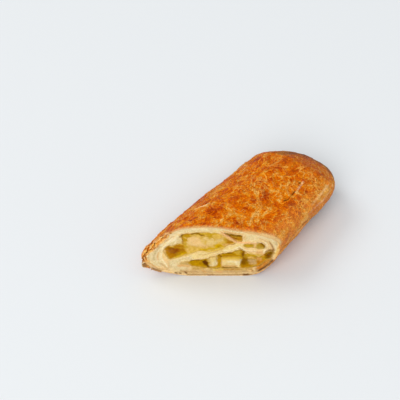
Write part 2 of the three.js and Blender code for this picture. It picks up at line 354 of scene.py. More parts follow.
def fillLoop(outer, holes, spacing, salt=0):  # triangles inside a loop and outside its holes
    random = np.random.default_rng(randomSeed + salt)
    low, high = outer.min(0), outer.max(0)
    columns, rows = ((high - low) / spacing).astype(int) + 1
    grid = np.stack(np.meshgrid(np.arange(columns), np.arange(rows)), -1).reshape(-1, 2).astype(float)
    grid[:, 0] += 0.5 * (grid[:, 1] % 2)
    grid = low + (grid + random.uniform(-0.2, 0.2, grid.shape)) * spacing
    keep = insideLoop(grid, outer) & (distanceToLoop(grid, outer) > 0.45 * spacing)
    for hole in holes:
        keep &= ~insideLoop(grid, hole) & (distanceToLoop(grid, hole) > 0.45 * spacing)
    grid = grid[keep]
    edges, start = [], 0
    for loop in [outer, *holes]:
        edges += [(start + i, start + (i + 1) % len(loop)) for i in range(len(loop))]
        start += len(loop)
    points = np.vstack([outer, *holes, grid])
    made, _, faces, *_ = delaunay_2d_cdt([Vector(p) for p in points.tolist()], edges, [], 0, 1e-7)
    made = np.array([tuple(p) for p in made])
    faces = np.array(faces)
    middle = made[faces].mean(1)
    inside = insideLoop(middle, outer)
    for hole in holes:
        inside &= ~insideLoop(middle, hole)
    return made, faces[inside]


# Colours painted over the cut face: each stroke is a soft line or area of one tone.

faceTones = {  # tones of the cut face
    "cream": srgb(244, 227, 180),
    "linen": srgb(221, 200, 151),
    "biscuit": srgb(240, 198, 136),
    "butter": srgb(234, 206, 137),
    "dough": srgb(222, 178, 118),
    "wheat": srgb(233, 188, 104),
    "tan": srgb(204, 168, 114),
    "putty": srgb(187, 163, 118),
    "straw": srgb(218, 178, 72),
    "peach": srgb(218, 160, 98),
    "gold": srgb(210, 165, 22),
    "moss": srgb(196, 153, 42),
    "oat": srgb(180, 136, 56),
    "toast": srgb(212, 130, 40),
    "shade": srgb(150, 110, 68),
    "amber": srgb(189, 139, 6),
    "caramel": srgb(167, 106, 36),
    "darkAmber": srgb(176, 112, 5),
    "oliveBrown": srgb(124, 75, 4),
    "rust": srgb(143, 69, 3),
    "umber": srgb(94, 56, 26),
    "darkBrown": srgb(94, 45, 2),
}

facePainting = [  # soft edge, strength, tone, and places along the cut line and in height
    # areas of dough first
    ("area", 1.0, 0.9, "linen", [(-30.2, 16.0), (-28.6, 19.3), (-25.8, 22.7), (-23.0, 26.1), (-20.7, 27.7),
        (-19.6, 26.1), (-21.3, 22.1), (-22.2, 18.2), (-22.0, 13.7), (-20.5, 9.7), (-22.1, 7.4),
        (-25.2, 8.0), (-28.3, 10.3), (-30.0, 13.1)]),  # left body of dough
    ("line", 0.9, 0.85, "biscuit", [(-20.0, 20.5), (-20.4, 17.6), (-19.9, 14.3),
        (-18.4, 11.4)]),  # between the left arc and the filling
    ("area", 1.2, 0.9, "linen", [(-18.3, 24.6), (-16.2, 27.7), (-13.5, 31.1), (-11.4, 31.1), (-10.1, 29.2),
        (-10.4, 26.5), (-13.6, 25.4), (-16.2, 24.3)]),  # above the left filling
    ("line", 1.8, 0.9, "dough", [(-3.0, 37.9), (6.7, 37.9)]),  # top band
    ("line", 1.8, 0.9, "linen", [(-20.0, 29.0), (-15.6, 33.7), (-13.0, 36.0), (-9.5, 37.5),
                                 (-5.0, 37.9)]),  # top band, left
    ("line", 0.8, 0.8, "linen", [(-10.9, 34.7), (-6.9, 35.8), (-0.4, 36.4),
                                 (6.7, 36.2)]),  # top band, inner edge
    ("line", 1.6, 0.9, "linen", [(4.4, 38.1), (7.7, 37.7), (11.4, 37.0), (15.2, 36.4), (19.5, 35.6),
        (23.3, 34.8)]),  # top band, middle
    ("line", 0.7, 0.9, "biscuit", [(13.1, 35.8), (16.6, 35.2), (19.5, 34.4),
                                   (23.3, 33.7)]),  # top band, pink edge
    # greenish leaf at the upper right
    ("area", 1.0, 0.7, "linen", [(25.2, 33.5), (31.2, 33.3), (31.8, 28.8), (25.3, 28.8)]),
    ("area", 1.4, 0.85, "linen", [(31.7, 33.5), (36.8, 32.3), (40.4, 30.8), (42.9, 26.9), (43.5, 23.3),
        (41.9, 23.3), (39.6, 28.0), (36.4, 30.0), (32.3, 30.0)]),  # upper right, fading
    ("line", 1.1, 0.85, "linen", [(40.4, 29.6), (41.8, 26.5), (42.5, 23.3), (42.5, 20.2)]),  # outer leaf
    ("line", 0.8, 0.8, "wheat", [(44.0, 27.3), (44.3, 24.1), (43.6, 20.2), (42.6, 17.1)]),  # rim at the right
    ("area", 1.0, 0.9, "dough", [(32.2, 21.8), (34.9, 21.0), (35.8, 18.6), (35.0, 16.7), (32.8, 17.1),
        (31.7, 19.4)]),  # middle of the right end
    ("area", 1.0, 0.9, "butter", [(-15.8, 10.8), (-13.6, 13.5), (-9.7, 15.4), (-4.3, 18.5), (2.3, 19.3),
        (6.7, 18.9), (6.7, 16.2), (0.4, 14.3), (-4.9, 13.1), (-9.7, 11.2)]),  # diagonal band, left
    # diagonal band, right
    ("area", 1.0, 0.9, "butter", [(4.5, 19.4), (8.6, 20.2), (13.2, 21.8), (16.4, 23.7), (20.7, 25.7),
        (23.4, 26.1), (24.0, 23.3), (21.3, 23.0), (18.6, 21.0), (15.4, 20.2), (9.9, 18.2), (4.5, 16.7)]),
    ("area", 1.2, 0.9, "linen", [(-19.4, 9.2), (-17.8, 12.0), (-13.9, 13.7), (-9.2, 15.4), (-4.5, 17.6),
        (-4.5, 13.1), (-10.0, 11.7), (-13.9, 9.2), (-15.5, 5.7), (-17.8, 5.2)]),  # lower left, pale
    ("area", 1.2, 0.85, "linen", [(-15.5, 9.2), (-10.0, 10.9), (-6.3, 10.9), (-6.3, 5.2), (-10.0, 3.4),
        (-15.5, 4.0)]),  # lower left
    ("line", 0.6, 0.7, "peach", [(-11.6, 7.4), (-7.6, 8.6), (-4.9, 8.0)]),  # pink in it
    ("line", 1.8, 0.9, "tan", [(-11.1, 3.4), (-4.4, 3.0), (2.3, 3.4), (6.8, 3.4)]),  # bottom band, left
    # bottom band, middle
    ("line", 1.7, 0.9, "tan", [(4.5, 3.9), (10.0, 3.5), (16.9, 3.5), (23.7, 3.5), (30.0, 3.5)]),
    # bottom band, upper
    ("line", 1.0, 0.85, "oat", [(6.2, 5.9), (11.4, 5.5), (16.9, 5.3), (22.3, 5.3), (28.6, 5.5)]),
    ("area", 1.3, 0.9, "caramel", [(30.8, 5.9), (33.5, 8.3), (36.8, 10.7), (39.7, 13.9), (41.0, 14.7),
        (40.5, 12.3), (36.8, 7.9), (33.6, 4.7), (31.7, 3.9)]),  # browned corner
    # filling and apple
    ("area", 1.4, 0.75, "biscuit", [(-6.5, 31.3), (0.3, 31.3), (1.7, 26.4), (-2.0, 23.9),
        (-6.2, 25.6)]),  # large apple, pale left
    ("area", 1.2, 0.65, "biscuit", [(0.3, 26.0), (3.7, 26.4), (6.0, 25.6), (4.3, 23.1),
        (0.3, 23.5)]),  # large apple, middle
    ("area", 1.1, 0.8, "butter", [(4.3, 25.2), (7.2, 27.6), (10.0, 29.7), (12.8, 30.5), (12.8, 28.4),
        (10.0, 27.2), (6.6, 24.3)]),  # bright streak
    ("line", 0.7, 0.6, "gold", [(3.3, 28.4), (3.0, 25.6)]),  # yellow line in it
    ("line", 1.0, 0.55, "straw", [(0.8, 30.4), (1.5, 28.0)]),  # yellow fold in it
    ("area", 0.9, 0.85, "moss", [(4.3, 34.0), (7.7, 33.8), (6.9, 31.3), (5.4, 29.3),
                                 (4.3, 30.5)]),  # green top
    ("line", 0.7, 0.75, "moss", [(-1.4, 34.0), (1.5, 33.8), (4.3, 34.2), (8.8, 34.0)]),  # skin
    ("area", 0.9, 0.95, "gold", [(8.3, 24.3), (9.4, 26.0), (12.6, 25.6), (13.5, 23.9), (11.2, 22.5),
        (8.3, 22.5)]),  # gold in the middle
    ("line", 0.7, 0.8, "amber", [(10.0, 23.9), (11.7, 24.7)]),  # its core
    ("line", 0.7, 0.85, "gold", [(0.3, 20.8), (2.6, 21.2), (5.2, 21.9), (9.0, 22.2),
                                 (12.4, 23.0)]),  # golden line
    ("area", 0.9, 0.9, "darkAmber", [(14.5, 29.7), (16.5, 29.7), (19.4, 27.4), (18.6, 26.2), (16.0, 26.4),
        (14.6, 27.4)]),  # amber under the leaf
    ("line", 0.7, 0.8, "moss", [(13.7, 29.7), (14.6, 27.6)]),  # green left of it
    ("line", 0.8, 0.6, "peach", [(13.2, 25.2), (16.0, 25.6)]),  # pink below it
    ("area", 0.7, 0.85, "amber", [(-9.1, 33.4), (-5.9, 33.4), (-4.8, 32.1), (-7.1, 31.3),
        (-9.1, 31.7)]),  # amber under the skin
    ("area", 0.7, 0.9, "amber", [(-9.5, 30.1), (-7.1, 30.1), (-6.7, 28.4), (-8.5, 27.5),
                                 (-9.6, 28.4)]),  # green spot
    ("area", 0.9, 0.7, "moss", [(-9.4, 26.8), (-7.4, 27.2), (-7.4, 23.9), (-8.8, 22.7)]),  # tan below it
    ("line", 0.5, 0.8, "caramel", [(-9.9, 31.7), (-9.6, 26.4)]),  # left wall
    ("line", 0.7, 0.6, "amber", [(-9.9, 31.8), (-9.4, 29.6)]),  # amber beside it
    ("line", 0.55, 0.95, "oliveBrown", [(-4.5, 33.9), (-2.8, 34.3), (-1.1, 34.6)]),  # dark line under the dough roof, painted shadow
    ("line", 0.5, 0.9, "oliveBrown", [(-0.8, 34.0), (0.9, 32.7), (2.3, 32.7)]),  # its lower part, painted shadow too
    ("line", 0.5, 0.8, "caramel", [(-9.5, 33.5), (-7.1, 33.8), (-4.5, 33.9)]),  # dark edge under the roof, painted shadow
    ("area", 0.8, 0.9, "amber", [(-13.9, 25.8), (-10.9, 25.6), (-10.7, 23.9),
                                 (-13.1, 22.9)]),  # left green patch
    ("area", 0.8, 0.85, "darkAmber", [(-15.0, 24.6), (-12.0, 25.2), (-9.2, 24.9), (-8.8, 22.8),
                                      (-14.6, 22.6)]),  # amber below it
    ("area", 0.8, 0.95, "darkAmber", [(-20.2, 23.1), (-16.9, 23.1), (-13.0, 22.6), (-9.9, 22.6), (-7.6, 20.2),
        (-8.0, 17.6), (-11.5, 15.7), (-14.6, 14.8), (-16.8, 13.4), (-18.1, 16.0),
        (-19.4, 19.9)]),  # left filling
    ("area", 0.9, 0.55, "rust", [(-17.7, 22.3), (-14.6, 22.4), (-11.1, 22.1), (-11.9, 19.6), (-14.2, 17.9),
        (-16.1, 18.2), (-17.7, 20.5)]),  # brown core
    ("line", 0.6, 0.55, "oliveBrown", [(-20.0, 22.8), (-17.3, 22.5), (-14.6, 22.4)]),  # dark upper edge, painted shade under the dough above
    ("line", 1.0, 0.7, "rust", [(-14.6, 21.6), (-12.8, 21.2), (-13.8, 19.2)]),  # darkest of the core
    ("area", 0.8, 0.85, "amber", [(-12.6, 18.8), (-9.9, 20.7), (-7.6, 19.3), (-9.6, 16.8), (-11.9, 15.7),
        (-14.2, 15.1)]),  # left filling, golden right
    ("line", 0.6, 0.8, "gold", [(-13.1, 15.7), (-10.7, 17.1), (-8.0, 19.1)]),  # its bright line
    ("line", 0.7, 0.8, "straw", [(-14.0, 14.8), (-12.0, 15.6), (-10.0, 16.9)]),  # low gold
    ("line", 0.7, 0.8, "wheat", [(-7.1, 21.9), (-6.4, 18.5)]),  # film beside it
    ("line", 0.8, 0.95, "darkBrown", [(-11.1, 31.6), (-10.0, 33.0)]),  # notch, painted dark as shade
    ("line", 0.6, 0.85, "caramel", [(-17.9, 24.0), (-17.1, 24.3)]),  # left wall, dark top
    ("area", 0.6, 0.95, "oliveBrown", [(13.4, 34.1), (18.5, 33.4), (23.5, 32.3), (23.5, 30.9), (18.5, 31.7),
        (14.8, 32.9)]),  # brown corner above the leaf
    ("area", 0.8, 0.95, "darkAmber", [(17.9, 30.9), (23.3, 31.3), (23.8, 28.4),
                                      (21.1, 28.4)]),  # amber corner
    ("line", 0.45, 0.85, "rust", [(16.5, 31.8), (18.5, 31.1), (20.5, 30.3)]),  # red line in it
    ("line", 0.7, 0.8, "caramel", [(13.7, 33.4), (15.1, 32.3), (16.5, 31.3)]),  # tan beside the leaf
    ("area", 1.0, 0.9, "amber", [(-5.1, 12.6), (0.1, 12.7), (1.1, 10.8), (1.1, 7.9),
        (-4.8, 7.9)]),  # lower filling, amber left
    ("line", 0.7, 0.85, "moss", [(-6.4, 9.8), (-5.4, 10.8), (-4.1, 11.7)]),  # green left corner
    ("line", 1.1, 0.6, "oat", [(-10.8, 8.8), (-8.8, 9.6), (-6.6, 10.5)]),  # tan left of it
    ("area", 1.1, 0.85, "oat", [(-4.8, 7.0), (0.4, 7.5), (3.7, 6.7), (3.0, 5.1), (-4.1, 4.6)]),  # tan below
    ("line", 0.6, 0.9, "oliveBrown", [(-4.8, 12.7), (-2.8, 13.0), (0.3, 13.0)]),  # dark upper edge, painted shade under the dough above
    ("area", 0.7, 0.98, "darkBrown", [(1.2, 12.5), (3.6, 13.2), (4.5, 11.2), (5.1, 8.9), (5.9, 6.7),
        (3.8, 7.7), (2.4, 9.8)]),  # dark gap, painted shade
    ("line", 0.6, 0.75, "darkBrown", [(3.5, 9.0), (4.6, 7.2)]),  # foot of the gap, painted shade
    ("line", 0.6, 0.7, "straw", [(5.0, 11.8), (5.2, 9.6)]),  # light edge beside it
    ("area", 0.8, 0.85, "butter", [(4.6, 14.0), (6.9, 15.4), (9.8, 16.6), (10.1, 13.6), (6.9, 12.2),
        (4.8, 11.2)]),  # tooth, green top
    ("area", 0.8, 0.85, "butter", [(5.4, 12.2), (9.5, 12.6), (9.2, 9.8), (5.9, 9.3)]),  # tooth
    ("line", 0.7, 0.95, "cream", [(5.9, 8.6), (7.4, 8.2), (8.5, 9.2)]),  # tip of the tooth
    ("line", 0.5, 0.9, "cream", [(8.8, 11.9), (9.1, 9.8)]),  # its bright side
    ("line", 0.9, 0.8, "cream", [(7.4, 10.4), (8.1, 9.0)]),  # its bright foot, a painted highlight
    ("area", 0.8, 0.95, "amber", [(9.8, 16.4), (12.3, 17.6), (12.0, 13.6), (11.6, 6.5), (9.8, 6.5),
        (10.1, 11.7)]),  # gap before the cube
    ("line", 0.7, 0.8, "moss", [(7.9, 6.3), (11.1, 6.5), (12.8, 5.6)]),  # green foot of the gap
    ("area", 0.7, 0.95, "amber", [(13.0, 18.3), (17.8, 18.0), (22.3, 16.9), (23.0, 15.5),
        (13.0, 15.8)]),  # top of the cube
    ("line", 0.8, 0.9, "gold", [(13.0, 14.9), (17.9, 14.9), (22.7, 14.5)]),  # edge of the cube
    ("line", 0.8, 0.8, "straw", [(12.7, 13.7), (17.9, 13.7), (22.7, 13.3)]),  # front of the cube, upper
    ("area", 0.8, 0.95, "butter", [(12.4, 12.4), (23.0, 12.4), (22.5, 7.2),
                                   (12.7, 7.7)]),  # front of the cube
    ("line", 0.7, 0.8, "cream", [(13.4, 11.5), (17.9, 11.5), (22.1, 11.2)]),  # its bright line
    ("line", 1.0, 0.7, "wheat", [(13.1, 12.9), (14.2, 11.7)]),  # yellow at its left
    ("line", 0.7, 0.7, "straw", [(18.4, 15.6), (21.8, 15.4)]),  # light edge of its top
    ("line", 0.9, 0.8, "cream", [(20.4, 10.8), (21.2, 8.9)]),  # bright at its right
    ("line", 0.6, 0.6, "peach", [(14.0, 8.1), (20.6, 7.9)]),  # tan along its foot
    ("line", 0.7, 0.8, "biscuit", [(12.3, 10.5), (12.7, 8.2)]),  # its left foot
    ("line", 0.5, 0.9, "cream", [(22.9, 13.1), (22.6, 10.3)]),  # its right edge
    ("line", 0.6, 0.98, "darkBrown", [(13.2, 6.9), (16.6, 6.6), (20.9, 6.6)]),  # painted shadow under the cube
    ("line", 0.8, 0.7, "caramel", [(14.1, 5.3), (17.9, 5.2), (21.8, 5.5)]),  # below it
    ("area", 0.7, 0.9, "straw", [(19.4, 20.6), (21.6, 21.3), (22.6, 19.2), (22.3, 16.9),
        (19.8, 17.6)]),  # chunk behind
    ("line", 0.7, 0.98, "oliveBrown", [(22.0, 22.1), (23.6, 21.5), (24.6, 19.9),
                                       (24.0, 16.6)]),  # arch over it
    ("line", 0.8, 0.75, "oat", [(20.6, 20.6), (21.6, 21.7), (22.2, 20.4)]),  # top of the chunk
    ("line", 0.5, 0.9, "oliveBrown", [(13.3, 18.9), (15.2, 18.9), (18.1, 18.2)]),  # dark line under the band, painted shade
    ("line", 0.5, 0.98, "darkBrown", [(12.3, 18.6), (13.3, 18.9)]),  # dark crumbs
    ("line", 0.5, 0.9, "oliveBrown", [(10.4, 17.6), (11.4, 16.4), (12.1, 15.9)]),  # dark crumbs left
    ("area", 0.9, 0.9, "oliveBrown", [(23.5, 15.9), (26.3, 14.0), (26.9, 12.2), (25.7, 9.1), (23.6, 8.2),
        (23.4, 12.2)]),  # hollow right of the cube, painted shade
    ("line", 0.8, 0.8, "darkAmber", [(24.1, 7.4), (26.3, 8.3), (28.3, 8.8)]),  # brown below it
    ("line", 0.7, 0.65, "oliveBrown", [(26.6, 14.4), (27.0, 12.4), (26.8, 10.4)]),  # edge of the hollow, painted shade
    ("area", 0.8, 0.9, "wheat", [(26.2, 16.9), (31.1, 16.6), (31.1, 14.3),
                                 (26.9, 14.0)]),  # filling under the lip
    ("line", 0.5, 0.9, "rust", [(30.6, 15.9), (31.7, 15.6)]),  # brown spot
    ("area", 0.9, 0.9, "tan", [(27.2, 13.1), (31.4, 13.6), (31.8, 9.3), (28.3, 8.9)]),  # pale piece
    ("area", 0.8, 0.85, "peach", [(32.0, 15.4), (35.3, 15.0), (35.3, 12.2), (32.4, 12.2)]),  # pink piece
    ("area", 1.0, 0.9, "toast", [(31.8, 8.6), (35.1, 9.6), (35.8, 6.5), (33.9, 4.6),
        (32.4, 5.6)]),  # orange brown corner
    ("area", 1.0, 0.9, "oat", [(35.3, 11.9), (40.1, 14.3), (39.2, 10.8), (36.1, 7.9)]),  # browned filling
    ("line", 0.5, 0.8, "moss", [(35.6, 14.0), (37.9, 13.0), (39.2, 13.6)]),  # light streak
    ("area", 0.9, 0.98, "oliveBrown", [(36.6, 19.7), (39.0, 22.0), (41.3, 21.5), (41.7, 18.7), (39.8, 14.5),
        (37.4, 14.5)]),  # olive brown piece
    ("line", 0.7, 0.9, "darkBrown", [(40.0, 21.0), (39.4, 18.3), (38.8, 15.4)]),  # its dark middle
    ("line", 0.6, 0.85, "caramel", [(36.5, 18.3), (36.9, 16.4)]),  # its left
    ("area", 0.7, 0.95, "moss", [(24.3, 25.5), (29.7, 25.3), (29.7, 23.5),
                                 (26.2, 23.3)]),  # side filling, green
    ("line", 0.6, 0.85, "oat", [(25.1, 25.5), (29.7, 25.5)]),  # side filling, dark edge
    ("line", 0.7, 0.9, "biscuit", [(30.6, 25.3), (30.5, 22.6)]),  # side filling, fold
    ("area", 0.8, 0.95, "oat", [(32.1, 27.6), (34.0, 27.3), (35.9, 24.9), (35.7, 23.0), (34.1, 23.3),
        (32.1, 24.9)]),  # side piece
    ("line", 0.6, 0.95, "oliveBrown", [(34.0, 26.9), (35.6, 24.9), (36.5, 22.6)]),  # side piece, dark edge
    ("line", 0.6, 0.85, "cream", [(-30.0, 13.1), (-29.0, 17.1), (-26.2, 21.0),
        (-23.1, 24.7)]),  # palest strand at the left
    ("line", 0.5, 0.75, "putty", [(-26.1, 13.1), (-25.8, 17.1), (-24.5, 20.5),
                                  (-22.3, 24.1)]),  # greenish strand
    ("line", 0.45, 0.75, "peach", [(-23.7, 13.1), (-23.8, 16.2), (-23.2, 19.1)]),  # pink strand
    # leaf edges and lines last
    ("line", 0.5, 0.9, "cream", [(-14.5, 32.2), (-17.2, 28.3), (-19.6, 24.9), (-21.1, 22.1), (-21.7, 18.8),
        (-21.6, 15.4), (-20.9, 12.6), (-19.4, 9.7), (-18.2, 7.4)]),  # bright arc at the left
    ("line", 0.6, 0.8, "dough", [(-17.7, 11.2), (-17.9, 8.5), (-17.2, 6.9)]),  # second tan arc
    ("line", 0.7, 0.85, "cream", [(-19.9, 23.5), (-17.8, 26.5), (-15.1, 28.8),
                                  (-12.7, 31.9)]),  # white leaf edge
    ("line", 0.7, 0.8, "linen", [(-26.3, 18.5), (-25.2, 22.4), (-22.8, 25.4)]),  # green line left
    # foot leaf
    ("line", 0.8, 0.9, "tan", [(-32.2, 15.4), (-31.2, 12.4), (-28.9, 9.3), (-25.4, 6.6), (-22.3, 4.2)]),
    ("line", 0.6, 0.85, "butter", [(-30.3, 17.0), (-30.4, 13.1), (-28.0, 10.0)]),  # line beside it
    ("line", 0.9, 0.85, "umber", [(-27.0, 6.6), (-25.5, 5.0), (-23.1, 3.8)]),  # brown under the foot, painted shade
    ("line", 0.7, 0.8, "tan", [(-22.2, 10.0), (-20.1, 7.7), (-18.5, 5.8)]),  # inner foot tan
    ("line", 0.5, 0.95, "darkBrown", [(-13.9, 2.4), (-13.1, 2.1)]),  # bottom dark bits
    ("line", 0.5, 0.95, "darkBrown", [(-11.7, 2.1), (-11.0, 1.8)]),  # bottom dark bits
    ("line", 0.55, 0.95, "darkBrown", [(-8.5, 2.9), (-7.6, 2.1)]),  # bottom dark bits
    ("line", 0.5, 0.8, "biscuit", [(-28.0, 9.2), (-24.8, 7.4), (-22.1, 6.0),
        (-18.6, 5.7)]),  # pale flakes at the foot
    ("line", 0.6, 0.85, "shade", [(-6.8, 1.1), (-0.4, 1.1), (6.8, 0.9)]),  # bottom line
    ("line", 0.6, 0.85, "shade", [(4.5, 0.7), (12.8, 0.7), (21.0, 0.9), (29.3, 1.1)]),  # bottom line right
    ("line", 0.8, 0.95, "darkBrown", [(24.9, 0.9), (27.1, 0.9)]),  # bottom dark bit right
    ("line", 0.8, 0.85, "peach", [(-12.1, 8.1), (-9.7, 8.7), (-6.8, 7.3)]),  # pink streak low
    ("line", 0.7, 0.8, "straw", [(-8.1, 16.2), (-6.7, 17.8), (-4.9, 19.3)]),  # crackled yellow
    ("line", 0.6, 0.9, "cream", [(13.2, 20.0), (15.9, 20.0), (18.6, 21.2),
                                 (20.8, 23.0)]),  # bright edge of the band
    ("line", 0.9, 0.7, "cream", [(-3.6, 37.4), (0.3, 37.9), (4.3, 37.0)]),  # top band, whitish
    ("line", 0.8, 0.6, "butter", [(7.7, 36.6), (11.4, 36.2)]),  # top band, greenish
    ("line", 0.5, 0.9, "cream", [(-11.3, 34.8), (-10.0, 35.2)]),  # bright fleck, a painted highlight
    ("line", 0.45, 0.9, "cream", [(5.7, 35.2), (7.4, 35.5)]),  # bright fleck, a painted highlight
    ("line", 0.5, 0.95, "cream", [(24.2, 32.7), (24.4, 29.5)]),  # bright wall of the corner
    ("line", 0.5, 0.85, "oliveBrown", [(13.7, 34.8), (17.4, 34.0), (21.3, 32.9),
        (23.6, 32.5)]),  # shadow over the corner
    ("line", 0.5, 0.8, "peach", [(13.1, 36.3), (18.5, 34.8), (23.6, 34.0)]),  # pink line over it
    ("line", 0.5, 0.9, "dough", [(11.8, 17.9), (12.6, 19.6)]),  # white crumb
    ("line", 0.7, 0.9, "biscuit", [(24.3, 32.3), (24.3, 29.2)]),  # left leaf edge
    ("line", 0.5, 0.9, "cream", [(22.0, 24.0), (24.4, 21.7), (27.5, 20.5), (31.1, 20.2)]),  # lip
    ("area", 0.7, 0.85, "moss", [(25.6, 18.6), (28.0, 18.6), (32.7, 17.8), (34.9, 17.7), (34.0, 15.4),
        (29.2, 15.4), (26.4, 15.4)]),  # yellow under the lip
    ("area", 0.7, 0.8, "biscuit", [(32.1, 21.4), (35.4, 21.1), (35.5, 18.5), (33.1, 18.0)]),  # end of the lip
    ("line", 0.6, 0.9, "cream", [(35.5, 18.6), (36.3, 21.0), (37.3, 24.1), (36.7, 27.3)]),  # white edge
    ("line", 0.7, 0.95, "biscuit", [(11.6, 34.1), (15.3, 31.3), (18.0, 29.0), (20.7, 26.9)]),  # leaf across
    ("line", 0.7, 0.95, "biscuit", [(20.7, 26.9), (24.8, 26.9), (28.8, 26.5),
                                    (31.3, 26.3)]),  # leaf across, level
    ("line", 0.5, 0.9, "shade", [(38.7, 27.8), (40.0, 25.3), (41.0, 22.6), (41.7, 20.6)]),  # brown line right
    ("line", 0.5, 0.85, "dough", [(37.8, 26.9), (38.9, 24.1), (40.3, 21.8)]),  # pale line beside
    ("area", 0.9, 0.9, "toast", [(31.8, 11.9), (34.0, 12.5), (37.2, 13.6), (39.5, 13.6), (38.0, 9.6),
        (34.9, 6.1), (32.5, 5.5)]),  # orange brown corner, outside
    ("area", 1.0, 0.25, "caramel", [(31.8, 12.5), (35.6, 13.1), (39.5, 13.6), (38.0, 9.6), (34.9, 6.1),
        (32.5, 5.5)]),  # browner over it
    ("line", 0.5, 0.7, "oat", [(32.9, 8.4), (35.2, 10.8), (37.6, 12.5)]),  # olive streak in it
    ("line", 0.9, 0.98, "darkBrown", [(41.1, 12.4), (38.6, 9.2), (36.3, 6.7),
                                      (33.4, 4.1)]),  # dark rim of the corner
    ("area", 0.7, 0.95, "oliveBrown", [(38.6, 21.1), (41.1, 21.4), (41.8, 18.8), (40.7, 15.9), (38.7, 13.9),
        (37.1, 14.8), (36.5, 17.7)]),  # dark hollow at the right, painted shade
    ("line", 0.5, 0.8, "darkBrown", [(40.6, 20.5), (39.8, 17.7), (38.7, 15.1)]),  # its darkest line, painted shade
    ("line", 0.7, 0.6, "rust", [(38.9, 16.2), (39.8, 14.8)]),  # its foot
    ("line", 0.45, 0.7, "oat", [(37.1, 17.7), (38.6, 19.4), (40.2, 20.6)]),  # lighter streak in it
    ("line", 0.7, 0.85, "wheat", [(44.4, 24.0), (43.5, 20.5), (42.6, 17.1)]),  # foot of the outer leaf
    ("line", 0.8, 0.8, "peach", [(9.4, 3.9), (12.4, 3.0)]),  # pink patches of the base
    ("line", 0.7, 0.7, "peach", [(1.4, 4.8), (3.2, 2.7)]),  # pink patches of the base
    ("line", 0.6, 0.6, "straw", [(7.9, 4.5), (12.8, 5.4)]),  # green in the base
    ("line", 0.5, 0.9, "biscuit", [(26.9, 5.0), (28.6, 4.6), (28.4, 3.0), (27.4, 3.6)]),  # curl in the base
    ("line", 0.45, 0.8, "caramel", [(26.2, 5.6), (29.1, 5.7), (29.7, 4.1)]),  # brown over the curl
    ("line", 0.55, 0.9, "biscuit", [(25.2, 22.4), (27.3, 20.6), (30.8, 20.6)]),  # upper edge of the lip
    ("line", 0.5, 0.9, "biscuit", [(25.5, 18.6), (28.1, 19.2), (31.4, 18.2)]),  # lower edge of the lip
    ("line", 0.9, 0.7, "peach", [(32.6, 18.7), (34.9, 19.2), (35.6, 17.1)]),  # pink dough
    ("line", 0.6, 0.8, "putty", [(42.6, 28.0), (42.7, 25.3)]),  # green line in outer leaf
    ("line", 0.8, 0.9, "gold", [(1.0, 21.0), (4.9, 19.9), (7.8, 20.5), (10.7, 21.5),
        (13.2, 22.8)]),  # gold along the band
    ("line", 0.8, 0.9, "toast", [(44.8, 28.8), (45.1, 26.1), (44.7, 22.6)]),  # orange rim
]


def paintFace(places, color, wobble=0.35, salt=0.0, flecks=1.0):
    shift = np.stack([roughNoise(places[:, 0] / 1.8, places[:, 1] / 1.8, 3, salt + 60),
                      roughNoise(places[:, 0] / 1.8 + 50, places[:, 1] / 1.8, 3, salt + 60)], 1)
    color = np.broadcast_to(np.asarray(color)[..., :3], (len(places), 3))
    for kind, soft, strength, tone, points in facePainting:
        loop = np.array(points, float)
        moved = places + (2 if kind == "area" else 0.9) * wobble * shift
        distance = distanceToLoop(moved, loop, kind == "area")
        if kind == "area":
            distance = np.where(insideLoop(moved, loop), -distance, distance)
            weight = smoothStep(soft, -soft, distance)
        else:
            weight = bell(distance, soft)
        weight = (weight * strength)[:, None]
        color = color * (1 - weight) + np.array(faceTones[tone][:3]) * weight
    fleck = roughNoise(places[:, 0] / 0.9 + salt, places[:, 1] / 0.9, 2, salt + 61)[:, None]
    return np.clip(color * (1 + flecks * fleck * np.array([0.1, 0.13, 0.24])), 0, 1)


def deepened(color):  # purer yellows and browns where the filling is dark
    color = np.array(color)
    color[:, 2] = np.maximum(color[:, 2] - 0.022 * smoothStep(0.14, 0.03, color[:, 2]), 0)
    return color


# Shared relief of the crust: the same slow blisters and leaf step as the solid

def crustRelief(u, z, t, girth):
    along = rollShape["length"] * t
    blisters = 0.45 * planeNoise(along / 13, girth / 15) + 0.25 * planeNoise(along / 6.5 + 40, girth / 7)
    seamLine = mixed(rollShape["seamAtCut"], rollShape["seamAtEnd"], t) + 1.5 * planeNoise(along / 9 + 80,
        3.5)
    step = rollShape["leafStep"] * smoothStep(seamLine - 0.8, seamLine + 0.8, u) * smoothStep(20, 28, z)
    return (blisters + step - rollShape["leafStep"] / 2) * smoothStep(0, 0.05, t) * smoothStep(2, 9, z)


crustLook = {
    "around": 480,
    "along": 270,
    "rounding": 60,
    "folding": 28,
    "plateSize": 6.5,
    "flakeSize": 2.5,
    "plateLift": 0.42,
    "flakeLift": 0.32,
    "cutJag": 0.35,
}


def spotMask(points, spots):  # soft round spots: x, y, z, radius
    mask = np.zeros(points.shape[:-1])
    for x, y, z, radius in spots:
        distance = np.linalg.norm(points - np.array([x, y, z]), axis=-1)
        mask = np.maximum(mask, bell(distance, radius))
    return mask


def lineMask(points, lines, width):  # soft lines through points
    flat = points.reshape(-1, 3)
    best = np.full(len(flat), 1e9)
    for line in lines:
        line = np.array(line, float)
        for a, b in zip(line[:-1], line[1:]):
            run = b - a
            share = np.clip(((flat - a) @ run) / (run @ run + 1e-9), 0, 1)
            best = np.minimum(best, np.linalg.norm(flat - a - share[:, None] * run, axis=1))
    return bell(best, width).reshape(points.shape[:-1])


